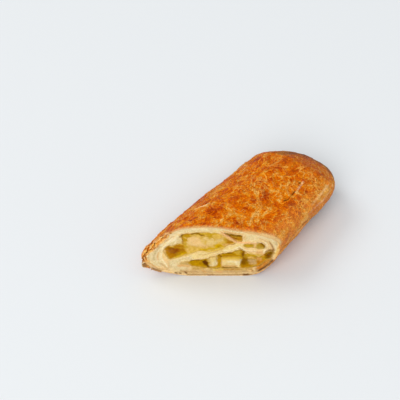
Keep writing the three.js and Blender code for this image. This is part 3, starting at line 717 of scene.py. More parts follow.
crustMarks = {
    "darkening": [  # spots baked darker: x, y, z, radius
        (-23.2, -9.1, 36.6, 3.8), (-3.6, -6.4, 35.6, 2.1), (-12.4, -7.9, 36.2, 2.5), (6.3, -8.5, 33.9, 2.8),
        (-27.1, 6.8, 37.8, 2.2), (-38.6, 11.5, 37.8, 2.6), (-8.5, 2.8, 36.6, 2.0), (26.7, 2.0, 33.3, 3.2),
        (35.3, -0.9, 32.4, 2.6), (33.3, -8.9, 31.4, 2.1), (39.9, -12.0, 30.1, 1.7), (25.8, -22.8, 28.6, 2.6),
        (33.4, -22.0, 27.6, 2.2), (-12.9, -20.5, 33.2, 3.1), (10.0, -28.5, 27.6, 2.0),
        (44.6, -21.0, 26.5, 2.0),
        (-15.5, 7.9, 36.8, 2.1), (-1.7, -22.4, 31.8, 1.8), (8.8, -22.8, 30.2, 1.7), (25.5, -29.6, 24.9, 1.3),
        (-41.6, 17.2, 34.3, 2.1), (-10.8, -26.2, 31.2, 2.3), (12.2, 13.8, 31.3, 1.7),
        (44.1, -25.0, 25.4, 1.5),
        (26.1, -11.6, 31.5, 1.5), (-37.5, 4.3, 39.5, 1.8), (-12.0, -31.3, 28.1, 1.6),
        (-7.0, -31.6, 26.6, 2.1),
        (-42.8, 27.1, 23.9, 3.0), (-36.6, 28.2, 22.2, 2.4), (-11.1, -32.5, 23.1, 2.2),
        (-6.9, -32.3, 23.5, 2.4),
        (17.6, -27.1, 27.6, 2.4), (10.5, -30.6, 26.0, 2.0), (33.6, 4.8, 31.8, 2.2), (24.0, -30.0, 24.2, 1.6),
    ],
    "pale": [  # spots baked paler
        (27.5, 7.6, 32.0, 2.1), (2.1, -3.5, 35.2, 1.6), (8.5, 9.7, 32.8, 1.6), (18.4, 2.1, 34.0, 1.2),
        (-16.9, 2.6, 37.7, 1.2), (-22.6, -3.3, 37.6, 1.1), (-12.7, -12.4, 34.9, 1.6),
        (-8.7, -16.1, 33.8, 1.6),
        (28.5, -17.3, 29.6, 1.5), (20.0, -19.4, 30.4, 1.3), (29.5, -29.0, 24.7, 1.7),
        (37.1, -28.3, 24.0, 1.6),
        (18.8, -30.4, 24.9, 1.6), (0.2, -30.9, 26.9, 2.3), (-11.6, -30.4, 28.9, 1.5), (12.4, -5.4, 33.8, 1.0),
        (-28.7, -1.9, 38.5, 1.0), (-21.6, 13.0, 35.5, 1.1), (-2.5, -16.8, 33.4, 1.6), (3.5, -23.5, 30.7, 1.2),
        (34.6, -16.7, 29.4, 1.2), (-19.6, -15.1, 35.1, 1.2), (43.3, -27.4, 24.1, 1.1),
        (8.6, -31.7, 23.9, 1.6),
        (-3.5, 16.5, 31.3, 1.2), (-4.7, -30.6, 27.5, 1.6),
        (-19.6, 9.8, 36.8, 2.2), (-42.4, 16.8, 34.6, 2.0), (7.7, 11.1, 32.6, 1.8), (-11.9, -30.9, 28.5, 1.8),
        (2.3, -32.2, 23.1, 2.0), (45.4, -27.0, 23.2, 2.4), (50.0, -24.5, 21.6, 1.6), (34.5, -29.7, 22.8, 1.6),
        (-8.1, -30.3, 28.2, 1.6),
    ],
    "veins": [  # thin raised edges of leaves
        [(-24.3, 25.9, 24.0), (-26.7, 26.8, 23.0), (-30.2, 26.8, 23.4), (-33.6, 26.7, 23.8),
         (-36.6, 26.9, 23.8),
         (-41.0, 26.8, 24.2), (-44.4, 27.3, 23.5)],
        [(-29.1, 17.8, 33.1), (-26.7, 18.2, 32.7), (-25.7, 16.8, 33.7), (-22.0, 13.7, 35.2),
         (-19.3, 13.2, 35.1)],
        [(-19.3, 13.2, 35.1), (-14.8, 14.3, 33.8), (-10.7, 15.2, 32.8), (-5.1, 16.2, 31.6),
         (-2.0, 16.6, 31.1)],
        [(-3.3, 15.6, 31.8), (-1.3, 12.6, 33.2), (2.4, 11.4, 33.1)],
        [(-20.3, 12.5, 35.5), (-20.5, 8.7, 37.2), (-20.4, 5.8, 37.6)],
        [(-11.0, -3.9, 36.8), (-8.4, -4.7, 36.4), (-5.6, -5.3, 36.1)],
        [(-8.8, -7.8, 35.9), (-7.4, -9.6, 35.5), (-6.5, -12.7, 34.8), (-5.2, -14.3, 34.3)],
        [(-21.7, -16.0, 35.3), (-18.9, -14.7, 35.1), (-14.8, -13.0, 35.0), (-10.5, -12.7, 34.8),
         (-5.2, -14.3, 34.3),
         (-1.8, -16.8, 33.3)],
        [(-15.8, -17.1, 34.4), (-11.5, -16.8, 33.8), (-8.1, -16.9, 33.6), (-5.1, -17.3, 33.5)],
        [(-5.7, -21.0, 32.3), (-2.4, -20.9, 32.3), (-0.8, -21.3, 32.0)],
        [(3.9, -1.9, 35.2), (0.7, -5.5, 35.0), (-0.5, -6.4, 35.1), (-3.0, -8.4, 35.1)],
        [(5.1, 9.3, 33.3), (-0.5, 8.1, 34.4), (-6.2, 6.9, 35.8)],
        [(-24.5, 0.8, 38.3), (-27.0, -2.3, 38.2), (-31.5, -3.5, 38.6)],
        [(21.7, 8.0, 32.4), (26.3, 8.1, 32.1), (30.6, 7.6, 31.7), (35.9, 6.7, 31.3)],
        [(15.1, -31.0, 24.7), (20.3, -30.2, 24.9), (27.8, -29.3, 24.8), (34.5, -28.3, 24.4)],
        [(-11.8, -30.5, 28.8), (-9.2, -30.3, 28.4), (-6.2, -30.3, 27.9)],
        [(-42.5, 24.7, 27.1), (-43.8, 25.4, 26.1), (-45.3, 26.7, 24.2), (-47.2, 27.6, 22.8),
         (-49.4, 28.0, 22.1),
         (-51.3, 28.3, 21.5)],
    ],
    "torn": [  # whitish torn edges beside the crack and over the left flank
        [(29.9, -17.3, 29.4), (27.0, -17.9, 29.5), (23.3, -18.6, 30.0), (19.7, -19.2, 30.5)],
        [(-26.7, 18.0, 32.9), (-24.2, 15.2, 34.5), (-22.0, 13.7, 35.2), (-20.0, 13.4, 35.3)],
    ],
    "crack": [
        [(8.7, -18.3, 31.3), (10.0, -18.7, 31.1), (11.5, -19.2, 31.0), (13.5, -19.0, 31.0),
         (15.4, -18.8, 31.0),
         (18.4, -18.4, 30.1), (20.5, -18.3, 30.3)],
        [(27.3, -16.6, 29.9), (28.5, -16.4, 29.8)],
        [(-22.6, 15.9, 34.0), (-22.1, 15.7, 34.2)],
        [(-20.9, 15.1, 34.4), (-19.5, 14.4, 34.6)],
    ],
    "paleBand": [
        [(19.0, -30.6, 16.8), (12.0, -30.6, 16.0), (6.5, -30.8, 16.4), (1.6, -30.3, 14.4),
         (-4.0, -29.9, 14.0),
         (-10.6, -30.4, 14.8), (-16.6, -30.8, 15.4)],
        [(44.8, -28.4, 22.7), (40.7, -29.7, 21.9), (34.9, -30.2, 21.1), (28.0, -30.6, 22.1),
         (21.1, -31.1, 23.1),
         (15.5, -31.4, 23.9)],
        [(41.0, -27.4, 24.5), (36.0, -28.0, 24.4), (32.2, -28.4, 24.6), (26.0, -29.1, 25.2),
         (21.0, -29.7, 25.4)],
    ],
    "farEdgeShade": [  # dark line round the far end's top edge, painted shade
        [(38.4, 12.9, 29.3), (41.4, 9.4, 29.3), (45.7, 6.6, 27.5), (49.3, 3.4, 25.9), (51.6, -0.7, 25.3),
         (54.0, -4.7, 23.5), (55.3, -9.5, 22.1), (55.9, -15.0, 20.7), (54.7, -18.6, 20.5),
         (52.5, -21.8, 20.9)],
    ],
    "foot": [  # where the outer leaf ends under the right flank: a small groove, painted dark as the shade where the flank turns under
        [(38.0, -27.0, 12.0), (26.0, -28.8, 14.2), (14.3, -30.8, 18.0), (9.8, -31.2, 18.7),
         (5.9, -31.4, 18.8),
         (2.9, -31.3, 18.0), (0.1, -30.8, 16.8), (-3.7, -30.7, 16.6), (-8.2, -31.0, 17.4),
         (-12.3, -31.3, 17.7),
         (-17.0, -31.7, 18.6)],
    ],
}


def leftRimShare(u, z):  # 1 along the torn upper left edge of the cut
    return smoothStep(-16, -21, u) * smoothStep(9, 14, z)


def rimFibres(girth, inward):  # browned leaf edges in shreds: below 0 a gap, above 0 a pale edge
    bend = 0.9 * roughNoise(girth / 1.5, inward / 4, 2, 75)
    return roughNoise(girth / 3.2, inward / 0.85 + bend, 2, 74)


def cutJag(girth, loop):  # how far the torn edge of the crust stands out of the cut, round the section
    ragged = 1 + 2.2 * leftRimShare(loop[:, 0], loop[:, 1])
    jag = ragged * roughNoise(girth / mixed(2.6, 1.5, ragged > 1.5), 0.5, 3, 71) + 0.25
    return crustLook["cutJag"] * jag * smoothStep(0.3, 2.5, loop[:, 1])


def crustPiece():
    look = crustLook
    loop, girthLength = smoothLoop(rollShape["outline"], look["around"])
    girth = np.arange(look["around"]) / look["around"] * girthLength
    roundStart = 1 - rollShape["endRound"] / rollShape["length"] - 0.06
    body = np.linspace(0, roundStart, look["along"], endpoint=False)
    rounding = roundStart + (1 - roundStart) * np.sin(math.pi / 2 * np.linspace(0, 1, look["rounding"]))
    fold = np.r_[np.zeros(len(body) + len(rounding)), np.linspace(0, 1, look["folding"])[1:]]
    t = np.r_[body, rounding, np.ones(look["folding"] - 1)]
    t2, girth2, fold2 = t[:, None], girth[None], fold[:, None]
    u, z = loop[:, 0][None], loop[:, 1][None]
    along = t2 * rollShape["length"] + fold2 * 14
    slant = along * 0.9 + girth2 * 0.35  # flakes lie a little askew to the roll

    def noise(length, width, octaves, salt):  # noise over the crust with spots of that length and width
        return roughNoise(along / length, girth2 / width, octaves, salt)

    warpA = 2.4 * noise(8, 8, 3, 11)
    warpB = 2.4 * roughNoise(along / 8 + 30, girth2 / 8, 3, 12)

    def flakes(size, narrowness, salt):
        return cells((slant + warpA) / size * 0.8, (girth2 + warpB) / size * narrowness, salt)

    plateEdge, plateTone = flakes(look["plateSize"], 1.25, 1)
    flakeEdge, flakeTone = flakes(look["flakeSize"], 1.2, 2)
    thin = noise(1.6, 1.6, 2, 5)
    plateRim = (1 - smoothStep(0.02, 0.1, plateEdge + 0.05 * thin)) * smoothStep(-0.3, 0.25,
        noise(7, 7, 2, 21))
    flakeRim = (1 - smoothStep(0.03, 0.17, flakeEdge + 0.06 * thin)) * smoothStep(0.0, 0.35,
        noise(5, 5, 2, 31))
    # painted shadows: thin darker lines just inside the raised edges of plates and flakes
    rimShadow = smoothStep(0.07, 0.12, plateEdge) * smoothStep(0.26, 0.14, plateEdge)
    rimShadow = rimShadow * smoothStep(0.35, 0.6, plateTone)
    flakeShadow = smoothStep(0.14, 0.22, flakeEdge) * smoothStep(0.42, 0.28, flakeEdge)
    flakeShadow = flakeShadow * smoothStep(0.4, 0.65, flakeTone)
    crease = smoothStep(0.72, 0.98, ridges((slant + warpB) / 9, (girth2 + warpA) / 6, 44))
    crease = crease * smoothStep(-0.2, 0.3, noise(6, 6, 2, 45))
    free = smoothStep(1.5, 6, z) * (1 - fold2)
    leftRim = leftRimShare(u, z)
    base = rollPoint(u, z, t2, fold2)
    crack = lineMask(base, crustMarks["crack"], 0.32) * smoothStep(-0.95, -0.4, noise(1.2, 1.2, 2, 47))
    veins = lineMask(base, crustMarks["veins"], 0.6)
    torn = lineMask(base, crustMarks["torn"], 0.5) * smoothStep(-0.45, 0.1, noise(1.4, 1.4, 2, 46))
    edgeLine = lineMask(base, crustMarks["paleBand"], 0.6) * smoothStep(-0.5, 0.2, noise(3, 1.8, 3, 48))
    palerSpots = spotMask(base, crustMarks["pale"])
    # painted shade where the right flank turns under, over a small groove
    footShade = lineMask(base, crustMarks["foot"], 0.8) * smoothStep(34, 10, base[..., 0])
    footShade = footShade * np.clip(0.95 + 0.6 * noise(3, 1.5, 3, 83), 0, 1)
    # painted shade along the far end's top edge, over a slight groove
    farEdgeShade = lineMask(base, crustMarks["farEdgeShade"], 0.9) * np.clip(0.6 + 0.8 * noise(2.5, 2.5, 3, 84), 0, 1)
    height = crustRelief(u, z, t2, girth2)
    shredded = leftRim * smoothStep(8, 4, along + 2 * roughNoise(girth2 / 4, 0.3, 2, 76))
    fibre = rimFibres(girth2, -along)
    height = height + shredded * (0.9 * fibre + 0.2)
    height = height + free * (
        look["plateLift"] * (plateTone - 0.5) + look["flakeLift"] * (flakeTone - 0.5)
        + 0.2 * plateRim + 0.14 * flakeRim + 0.16 * crease + 0.2 * veins + 0.2 * torn + 0.3 * edgeLine
        + 0.36 * noise(3.4, 3.4, 4, 3) + 0.2 * noise(1.5, 1.5, 2, 4)
        - 1.3 * crack - 0.5 * footShade - 0.15 * farEdgeShade)
    height = height * mixed(smoothStep(-0.2, 1.6, along), 1, leftRim)
    normals = outwardNormals(loop)
    uu = u + normals[:, 0][None] * height
    zz = np.maximum(z + normals[:, 1][None] * height, 0)
    points = rollPoint(uu, zz, t2, fold2)
    points = points + (cutJag(girth, loop) * np.exp(-along / 1.2))[..., None] * faceNormal
    darkPatch = smoothStep(0.12, 0.42, roughNoise((slant + warpA) / 8, (girth2 + warpB) / 6, 4, 81))
    farther = smoothStep(20, 50, base[..., 0] - 0.3 * base[..., 1])
    lengthwise = np.gradient(base, axis=0)
    sideways = np.roll(base, -1, 1) - np.roll(base, 1, 1)
    facing = np.cross(lengthwise, sideways)
    facing = facing / (np.linalg.norm(facing, axis=-1, keepdims=True) + 1e-12)
    facing = facing * np.sign((facing * (base - np.array([0, 0, 15.0]))).sum(-1, keepdims=True))
    # painted shade: the far end darkened where its surface turns away towards the outline
    farShade = smoothStep(-0.55, -0.3, -(facing @ faceNormal) - facing[..., 2])
    farShade = farShade * smoothStep(18, 34, base[..., 0])
    farShade = farShade * smoothStep(-29, -22, base[..., 1]) * mixed(0.8, 0.1,
        smoothStep(0, 16, base[..., 1]))
    farShade = farShade * (0.8 + 0.5 * noise(4, 4, 3, 82))
    flank = smoothStep(-20, -31, base[..., 1])
    leftSide = smoothStep(2, 14, base[..., 1]) * smoothStep(20, -5, base[..., 0])
    # browning, plus the painted shadows beside plate and flake edges
    baked = (0.7 * spotMask(base, crustMarks["darkening"]) + 0.3 * darkPatch + 0.12 * leftSide + 0.5 * rimShadow
             + 0.45 * flakeShadow + 0.7 * (plateTone - 0.5) + 0.25 * (flakeTone - 0.5))
    paler = 1.25 * plateRim + 0.7 * flakeRim + 0.85 * crease + 0.1 * smoothStep(0.6, 1, flakeTone)
    creamy = (0.9 * bell(along, 2.4 + 1.2 * thin) * smoothStep(29, 38, u) * smoothStep(22, 26, z)
              + 0.45 * bell(along, 3.0) * smoothStep(18, 30, u) * smoothStep(24, 28, z)
              + 0.7 * bell(along, 1.3) * smoothStep(26, 32, z) + 0.6 * shredded * smoothStep(0.0, 0.3, fibre)
              + 0.7 * bell(along, 1.8) * smoothStep(13, 9, z) * smoothStep(32, 26, u))
    # dark: cracks, the browned lower right corner of the cut, and painted shade at the far end, under the
    # right flank and in the gaps between shreds
    darker = (np.maximum(1.2 * crack, farShade) + 0.8 * footShade + 0.3 * farEdgeShade
              + 0.8 * bell(along, 2.5) * smoothStep(30, 33, u) * smoothStep(13, 10, z)
              + 0.9 * shredded * smoothStep(-0.05, -0.4, fibre))
    masks = {
        # darker crust: baked spots and patches with the painted edge shadows, held back on the right flank as
        # part of its painted light
        "darkening": np.clip(baked, 0, 1) * (1 - 0.25 * flank) * (1 - 0.8 * palerSpots),
        "pale": np.clip(paler * (1 - 0.4 * leftSide) + 0.8 * veins + 0.6 * palerSpots, 0, 1),
        "torn": np.clip((torn + 0.6 * edgeLine) * (1 - crack), 0, 1),
        "dull": np.clip(farther * 0.8 * (1 - flank) + 0.2 * noise(9, 9, 3, 91), 0, 1),
        # light: the right flank painted paler, a painted light
        "light": np.clip(flank + 0.25 * noise(6, 6, 3, 92) * flank, 0, 1),
        "dark": np.clip(darker, 0, 1),
        "cream": np.clip(creamy, 0, 1),
        "toast": smoothStep(5, 0.5, z) * smoothStep(0.5, 5, along),
    }
    faces = ringFaces(len(t), look["around"])
    last = (len(t) - 1) * look["around"]
    points = np.vstack([points.reshape(-1, 3), points[-1].mean(0)[None]])
    shape = (len(t), look["around"])
    masks = {key: np.r_[np.broadcast_to(mask, shape).ravel(), 0.3] for key, mask in masks.items()}
    faces += fanFaces(last, look["around"], len(points) - 1)
    return makeMesh("crust", points, faces, masks)


doughLook = {
    "spacing": 0.3,
    "layers": 6.0,
    "layerDepth": 0.14,
    "grooveDepth": 0.36,
    "ridgeHeight": 0.3,
    "gapDepth": 1.5,
    "pocketRings": 16,
    "ringCrowding": 1.8,  # more rings near the cut
    "base": srgb(236, 202, 144),
    "grooves": [  # dark lines where one leaf ends and the next begins, sunk a little and painted darker as shade
        [(-28.2, 17.6), (-28.9, 14.7), (-28.4, 11.6)],
        [(-31.1, 16.6), (-30.5, 14.1), (-29.5, 11.2), (-26.7, 8.6), (-23.5, 6.0), (-17.5, 4.0)],
        [(-19.6, 27.4), (-17.6, 29.6), (-14.6, 31.8)],
        [(-25.4, 22.4), (-22.6, 26.4), (-19.4, 30.0)],
        [(24.7, 31.6), (24.9, 29.6)],
        [(38.6, 27.3), (39.6, 25.2), (40.8, 22.5), (41.8, 19.6)],
        [(33.0, 30.6), (35.6, 29.0), (37.8, 27.4)],
        [(26.4, 19.6), (29.4, 19.3), (33.0, 19.5)],
        [(-11.0, 3.6), (2.0, 2.7), (16.0, 2.6), (30.0, 3.8)],
        [(0.0, 16.4), (7.0, 18.6), (12.0, 21.0)],
    ],
    "gaps": [  # open slits between the browned leaves and the pale dough, painted dark as shade
        [(-30.4, 17.2), (-29.6, 19.1), (-28.5, 21.3), (-27.2, 23.4)],
        [(-26.1, 24.3), (-25.0, 26.0), (-23.8, 27.4)],
    ],
    "ridges": [  # pale edges of single leaves, standing a little proud
        [(-15.2, 30.0), (-17.8, 26.5), (-20.4, 23.0), (-21.6, 19.7), (-21.8, 17.2), (-21.0, 13.6),
         (-19.2, 10.4)],
        [(-31.6, 15.3), (-31.2, 13.1), (-30.2, 10.9), (-28.1, 8.1), (-25.0, 6.2)],
        [(24.3, 32.3), (24.3, 30.0), (25.0, 28.6)],
        [(21.2, 27.1), (23.4, 27.2), (26.0, 26.9), (31.2, 26.9)],
        [(24.0, 22.6), (25.4, 21.6), (26.7, 20.8), (29.1, 20.6), (31.3, 20.4)],
        [(36.9, 21.4), (36.0, 20.2), (35.5, 18.9)],
        [(36.4, 28.0), (37.5, 26.3), (37.6, 23.8)],
        [(-4.0, 13.9), (-1.9, 14.2), (1.4, 14.6)],
        [(-14.5, 13.4), (-9.0, 14.8), (-6.0, 16.0)],
    ],
}


def doughPiece():
    look = doughLook
    outer, girthLength = smoothLoop(rollShape["outline"], crustLook["around"])
    girth = np.arange(len(outer)) / len(outer) * girthLength
    holes = [pocketLoop(name) for name in pocketShapes]
    flat, faces = fillLoop(outer, holes, look["spacing"])
    distances = np.stack([distanceToLoop(flat, loop) for loop in (outer, *holes)], 1)
    nearest = distances.min(1)
    toPocket = distances[:, 1:].min(1)
    outerShare = distances[:, 0] / (distances[:, 0] + toPocket + 1e-6)
    innerShare = distances[:, 1] / (distances[:, 1] + distances[:, 3] + 1e-6)
    share = np.where(distances[:, 0] < 14, outerShare, innerShare)

    def noise(size, octaves, salt, aside=0):
        return roughNoise(flat[:, 0] / size + aside, flat[:, 1] / size, octaves, salt)

    wobble = 0.5 * noise(6, 3, 9)
    wave = np.abs(((share * look["layers"] + wobble) % 1) - 0.5) * 2  # 0 in a layer, 1 between layers
    fade = smoothStep(-0.25, 0.35, noise(5, 2, 19))
    between = smoothStep(0.7, 0.98, wave) * fade
    bent = flat + 0.5 * np.stack([noise(3, 2, 23), noise(3, 2, 23, 9)], 1)

    def marks(lines, width):
        best = np.zeros(len(flat))
        for line in lines:
            best = np.maximum(best, bell(distanceToLoop(bent, evenLine(line, 0.5), False), width))
        return best

    groove, gap = marks(look["grooves"], 0.3), marks(look["gaps"], 0.42)
    ridge = marks(look["ridges"], 0.36)
    out = (-look["layerDepth"] * between - look["grooveDepth"] * groove + look["ridgeHeight"] * ridge
           + 0.16 * noise(1.3, 3, 17) + 0.22 * noise(5, 2, 27))
    edgeFade = smoothStep(0, 0.9, nearest)
    out = out * edgeFade - 0.12 * (1 - edgeFade)
    out = out - look["gapDepth"] * gap
    close = np.flatnonzero((distances[:, 0] < 5) & (flat[:, 0] < -10))
    nearby = np.argmin(np.hypot(*(flat[close, None] - outer[None]).transpose(2, 0, 1)), 1)
    shredded, fibre = np.zeros(len(flat)), np.zeros(len(flat))
    inward = distances[close, 0]
    fibre[close] = rimFibres(girth[nearby], inward)
    shredded[close] = leftRimShare(*flat[close].T) * smoothStep(
        2.9, 1.6, inward + 1.2 * roughNoise(girth[nearby] / 4, 0.7, 2, 77))
    out = out + shredded * 0.9 * fibre
    out[: len(outer)] = cutJag(girth, outer)
    points = facePoint(flat[:, 0], flat[:, 1], out)
    color = paintFace(flat, look["base"])
    # painted shade in the slits and in the gaps between shreds
    hollow = rgb(140, 74, 16)
    dry = 1 - smoothStep(29, 31, flat[:, 0]) * smoothStep(15, 13, flat[:, 1])
    browned = mixed(0.15, 0.6, np.maximum(smoothStep(8, 24, flat[:, 1]), smoothStep(28, 33, flat[:, 0])))
    for weight, tone in (
            (0.5 * between, rgb(208, 164, 106)), (0.35 * np.exp(-toPocket / 0.9) * dry, rgb(226, 190, 100)),
            # grooves painted darker as shade
            (0.5 * groove, rgb(178, 126, 70)), (0.4 * ridge, rgb(248, 220, 176)),
            (browned * bell(distances[:, 0], 0.5), rgb(206, 128, 52)), (0.95 * gap, hollow),
            (0.85 * shredded, rgb(226, 146, 54)),
            (0.9 * shredded * smoothStep(0.0, 0.3, fibre), rgb(255, 200, 118)),
            (0.9 * shredded * smoothStep(-0.05, -0.4, fibre), hollow)):
        color = color * (1 - weight[:, None]) + tone * weight[:, None]
    parts = [points]
    allFaces, allColors = faces.tolist(), [color]
    count, start, steps = len(points), len(outer), look["pocketRings"]
    for pocket, hole in zip(pocketShapes.values(), holes):
        stations = np.linspace(0, 1, steps + 1)[1:] ** look["ringCrowding"] * pocket["end"]
        rings, tints = [], []
        for step, t in enumerate(stations):
            ring = narrowed(hole, step, steps)
            depth = t * rollShape["length"]
            rings.append(rollPoint(ring[:, 0], ring[:, 1], t))
            deep = smoothStep(0.5, 9, depth)
            floorTone = 0.5 + 0.5 * roughNoise(ring[:, 0] / 3, ring[:, 1] / 3 + depth, 2, 33)[:, None]
            pale = mixed(rgb(206, 160, 84), rgb(228, 190, 128), floorTone)
            tints.append(mixed(pale, rgb(190, 138, 40), deep))
        parts += [np.vstack(rings), rings[-1].mean(0)[None]]
        allColors += [np.vstack(tints), tints[-1].mean(0)[None]]
        around = len(hole)
        for i in range(around):
            j = (i + 1) % around
            allFaces.append([start + j, start + i, count + i, count + j])
        allFaces += [face[::-1] for face in ringFaces(steps, around, count)]
        centre = count + steps * around
        allFaces += fanFaces(centre - around, around, centre, flipped=True)
        start += around
        count = centre + 1
    return makeMesh("dough", np.vstack(parts), allFaces, None, {"tint": np.vstack(allColors)})


# Thin leaves of dough: strips that follow a line on the cut face

leafLooks = {
    "across": {  # the leaf that hangs across the upper filling
        "line": [(11.2, 36.0), (12.2, 35.0), (14.3, 33.1), (17.3, 30.4), (19.6, 28.2), (21.4, 27.5),
                 (25.3, 27.1), (30.3, 26.7), (31.6, 26.4)],
        "thick": 0.7, "front": 0.45, "back": -1.3, "ragged": 0.12, "color": srgb(248, 190, 130),
        "top": srgb(214, 160, 100),
    },
    "sideUpper": {
        "line": [(27.6, 26.8), (30.6, 27.6), (34.4, 27.2), (36.8, 25.2), (37.2, 22.6)],
        "thick": 0.45, "front": 0.3, "back": -1.4, "ragged": 0.2, "color": srgb(232, 202, 158),
        "top": srgb(220, 186, 136),
    },
    "lowerLip": {
        "line": [(9.2, 18.4), (11.9, 19.0), (14.4, 19.0), (18.4, 20.6), (22.4, 22.2)],
        "thick": 0.5, "front": 0.25, "back": -1.2, "ragged": 0.25, "color": srgb(236, 208, 150),
        "top": srgb(226, 190, 124),
    },
}

rimLeaves = {  # browned leaves that stand loose in shreds along the upper left edge and the foot
    "upper": {"from": (-31.9, 12.6), "to": (-16.5, 34.6), "count": 20, "length": (2.4, 6.0),
              "offset": (-1.6, 0.9), "front": (0.2, 1.1), "back": -0.6, "thick": (0.3, 0.55), "wave": 0.8,
              "shade": 1.0},
    "foot": {"from": (-26.5, 5.4), "to": (-32.2, 13.5), "count": 8, "length": (2.0, 4.5),
             "offset": (-0.9, 0.5), "front": (0.2, 1.0), "back": -0.8, "thick": (0.3, 0.5), "wave": 0.5,
             "shade": 0.84},
}
footCurls = [  # curled flakes that hang loose at the left foot; the third is a dark sheet painted as the shade inside the curl, the fourth a brown strip painted as the shade under the foot loop
    {"line": [(-30.6, 12.0), (-32.0, 10.8), (-32.7, 9.0), (-32.0, 7.4), (-30.8, 7.5)], "thick": 0.5,
     "back": -1.2,
     "color": srgb(226, 192, 142), "top": srgb(170, 124, 76)},
    {"line": [(-29.9, 9.6), (-28.9, 8.6), (-28.9, 7.6), (-30.2, 7.2), (-31.2, 7.4)], "thick": 0.5,
     "back": -2.0,
     "color": srgb(214, 164, 104), "top": srgb(136, 82, 40)},
    # painted shade inside the curl
    {"line": [(-31.6, 10.4), (-30.9, 9.0), (-30.0, 7.8)], "thick": 2.6, "back": -0.6,
     "color": srgb(150, 106, 62), "top": srgb(130, 84, 44)},
    # painted shade under the foot loop
    {"line": [(-29.6, 8.3), (-27.2, 6.2), (-24.8, 4.6), (-21.8, 3.3)], "thick": 0.9, "back": -1.2,
     "color": srgb(184, 138, 92), "top": srgb(146, 102, 62)},
]
crumbPlaces = {  # the line they lie along: places along the cut line, and heights
    "foot": {"count": 10, "span": (-32.0, -27.0), "line": ([-32, -31, -30, -27], [13, 10, 8.4, 5.6]),
             "size": (0.45, 1.25)},
    "edge": {"count": 6, "span": (-30.0, -14.0), "line": ([-30, -26, -22, -16, -14],
        [19.6, 24.6, 29.6, 35, 36.4]),
             "size": (0.35, 0.9)},
}
crumbTones = [(200, 132, 58), (172, 106, 44), (222, 168, 100), (186, 140, 84)]
shredTones = [(255, 196, 112), (252, 180, 84), (246, 164, 62), (255, 214, 146), (226, 136, 42),
              (255, 190, 98)]


def evenLine(points, spacing):
    points = np.array(points, float)
    ends = np.vstack([2 * points[0] - points[1], points, 2 * points[-1] - points[-2]])
    share = (np.arange(20) / 20)[:, None]
    curve = [curveShare(a, b, c, d, share) for a, b, c, d in zip(ends[:-3], ends[1:-2], ends[2:-1], ends[3:])]
    curve = np.vstack([*curve, points[-1:]])
    run = runLength(curve)
    return atRun(curve, run, np.linspace(0, run[-1], max(int(run[-1] / spacing), 2) + 1))


def leafStrip(line, thick, front, back, ragged, color, top, salt, waviness=0.25):
    along = np.gradient(line, axis=0)
    along = along / np.linalg.norm(along, axis=1, keepdims=True)
    normal = np.stack([-along[:, 1], along[:, 0]], 1)
    run = runLength(line)
    tear = ragged * roughNoise(run / 0.9, 0.3 + salt, 3, 120 + salt)
    wave = waviness * roughNoise(run / mixed(2.5, 1.5, waviness > 0.3), 7.3 + salt, 2, 140 + salt)
    taper = np.minimum(1, 0.25 + np.minimum(run, run[-1] - run) / 1.2)
    outs = np.array([0, 0.25, 0.6, 1.0])
    rows, colors = [], []
    for side in (1, -1):
        for share in (outs if side > 0 else outs[::-1]):
            out = mixed(front + tear, back, share)
            half = 0.5 * thick * taper * (0.55 if share == 0 else 1)
            place = line + normal * (side * half + wave * (0.4 + 0.6 * share))[:, None]
            rows.append(facePoint(place[:, 0], place[:, 1], out))
            tone = np.array(color[:3]) if share < 0.5 else np.array(top[:3])
            fleck = (0.9 + 0.2 * roughNoise(run / 0.8, share * 3 + salt, 2, 160))[:, None]
            colors.append(np.clip(tone * fleck, 0, 1))
    points = np.stack(rows)
    rowCount, columns = points.shape[:2]
    faces = gridFaces(rowCount, columns)
    lastRow = (rowCount - 1) * columns
    faces += [[lastRow + i, lastRow + i + 1, i + 1, i] for i in range(columns - 1)]
    ends = [row * columns for row in range(rowCount)]
    faces += [ends[::-1], [first + columns - 1 for first in ends]]
    return points.reshape(-1, 3), faces, np.stack(colors).reshape(-1, 3)


def outlinePart(start, end, offset, spacing=0.4):  # the outline from one place on to another
    loop, _ = smoothLoop(rollShape["outline"], 900)  # fine enough to find the places on
    first = np.argmin(np.hypot(*(loop - start).T))
    last = np.argmin(np.hypot(*(loop - end).T))
    if last < first:
        last += len(loop)
    stretch = offsetLoop(loop, np.full(len(loop), offset))[np.arange(first, last + 1) % len(loop)]
    run = runLength(stretch)
    return atRun(stretch, run, np.linspace(0, run[-1], int(run[-1] / spacing) + 1))


def doughLeaves():
    parts = [leafStrip(evenLine(look["line"], 0.35), look["thick"], look["front"], look["back"],
                       look["ragged"],
                       look["color"], look["top"], order) for order, look in enumerate(leafLooks.values())]
    points, faces, colors = joinParts(parts)
    return makeMesh("dough_leaves", points, faces, None, {"tint": colors})


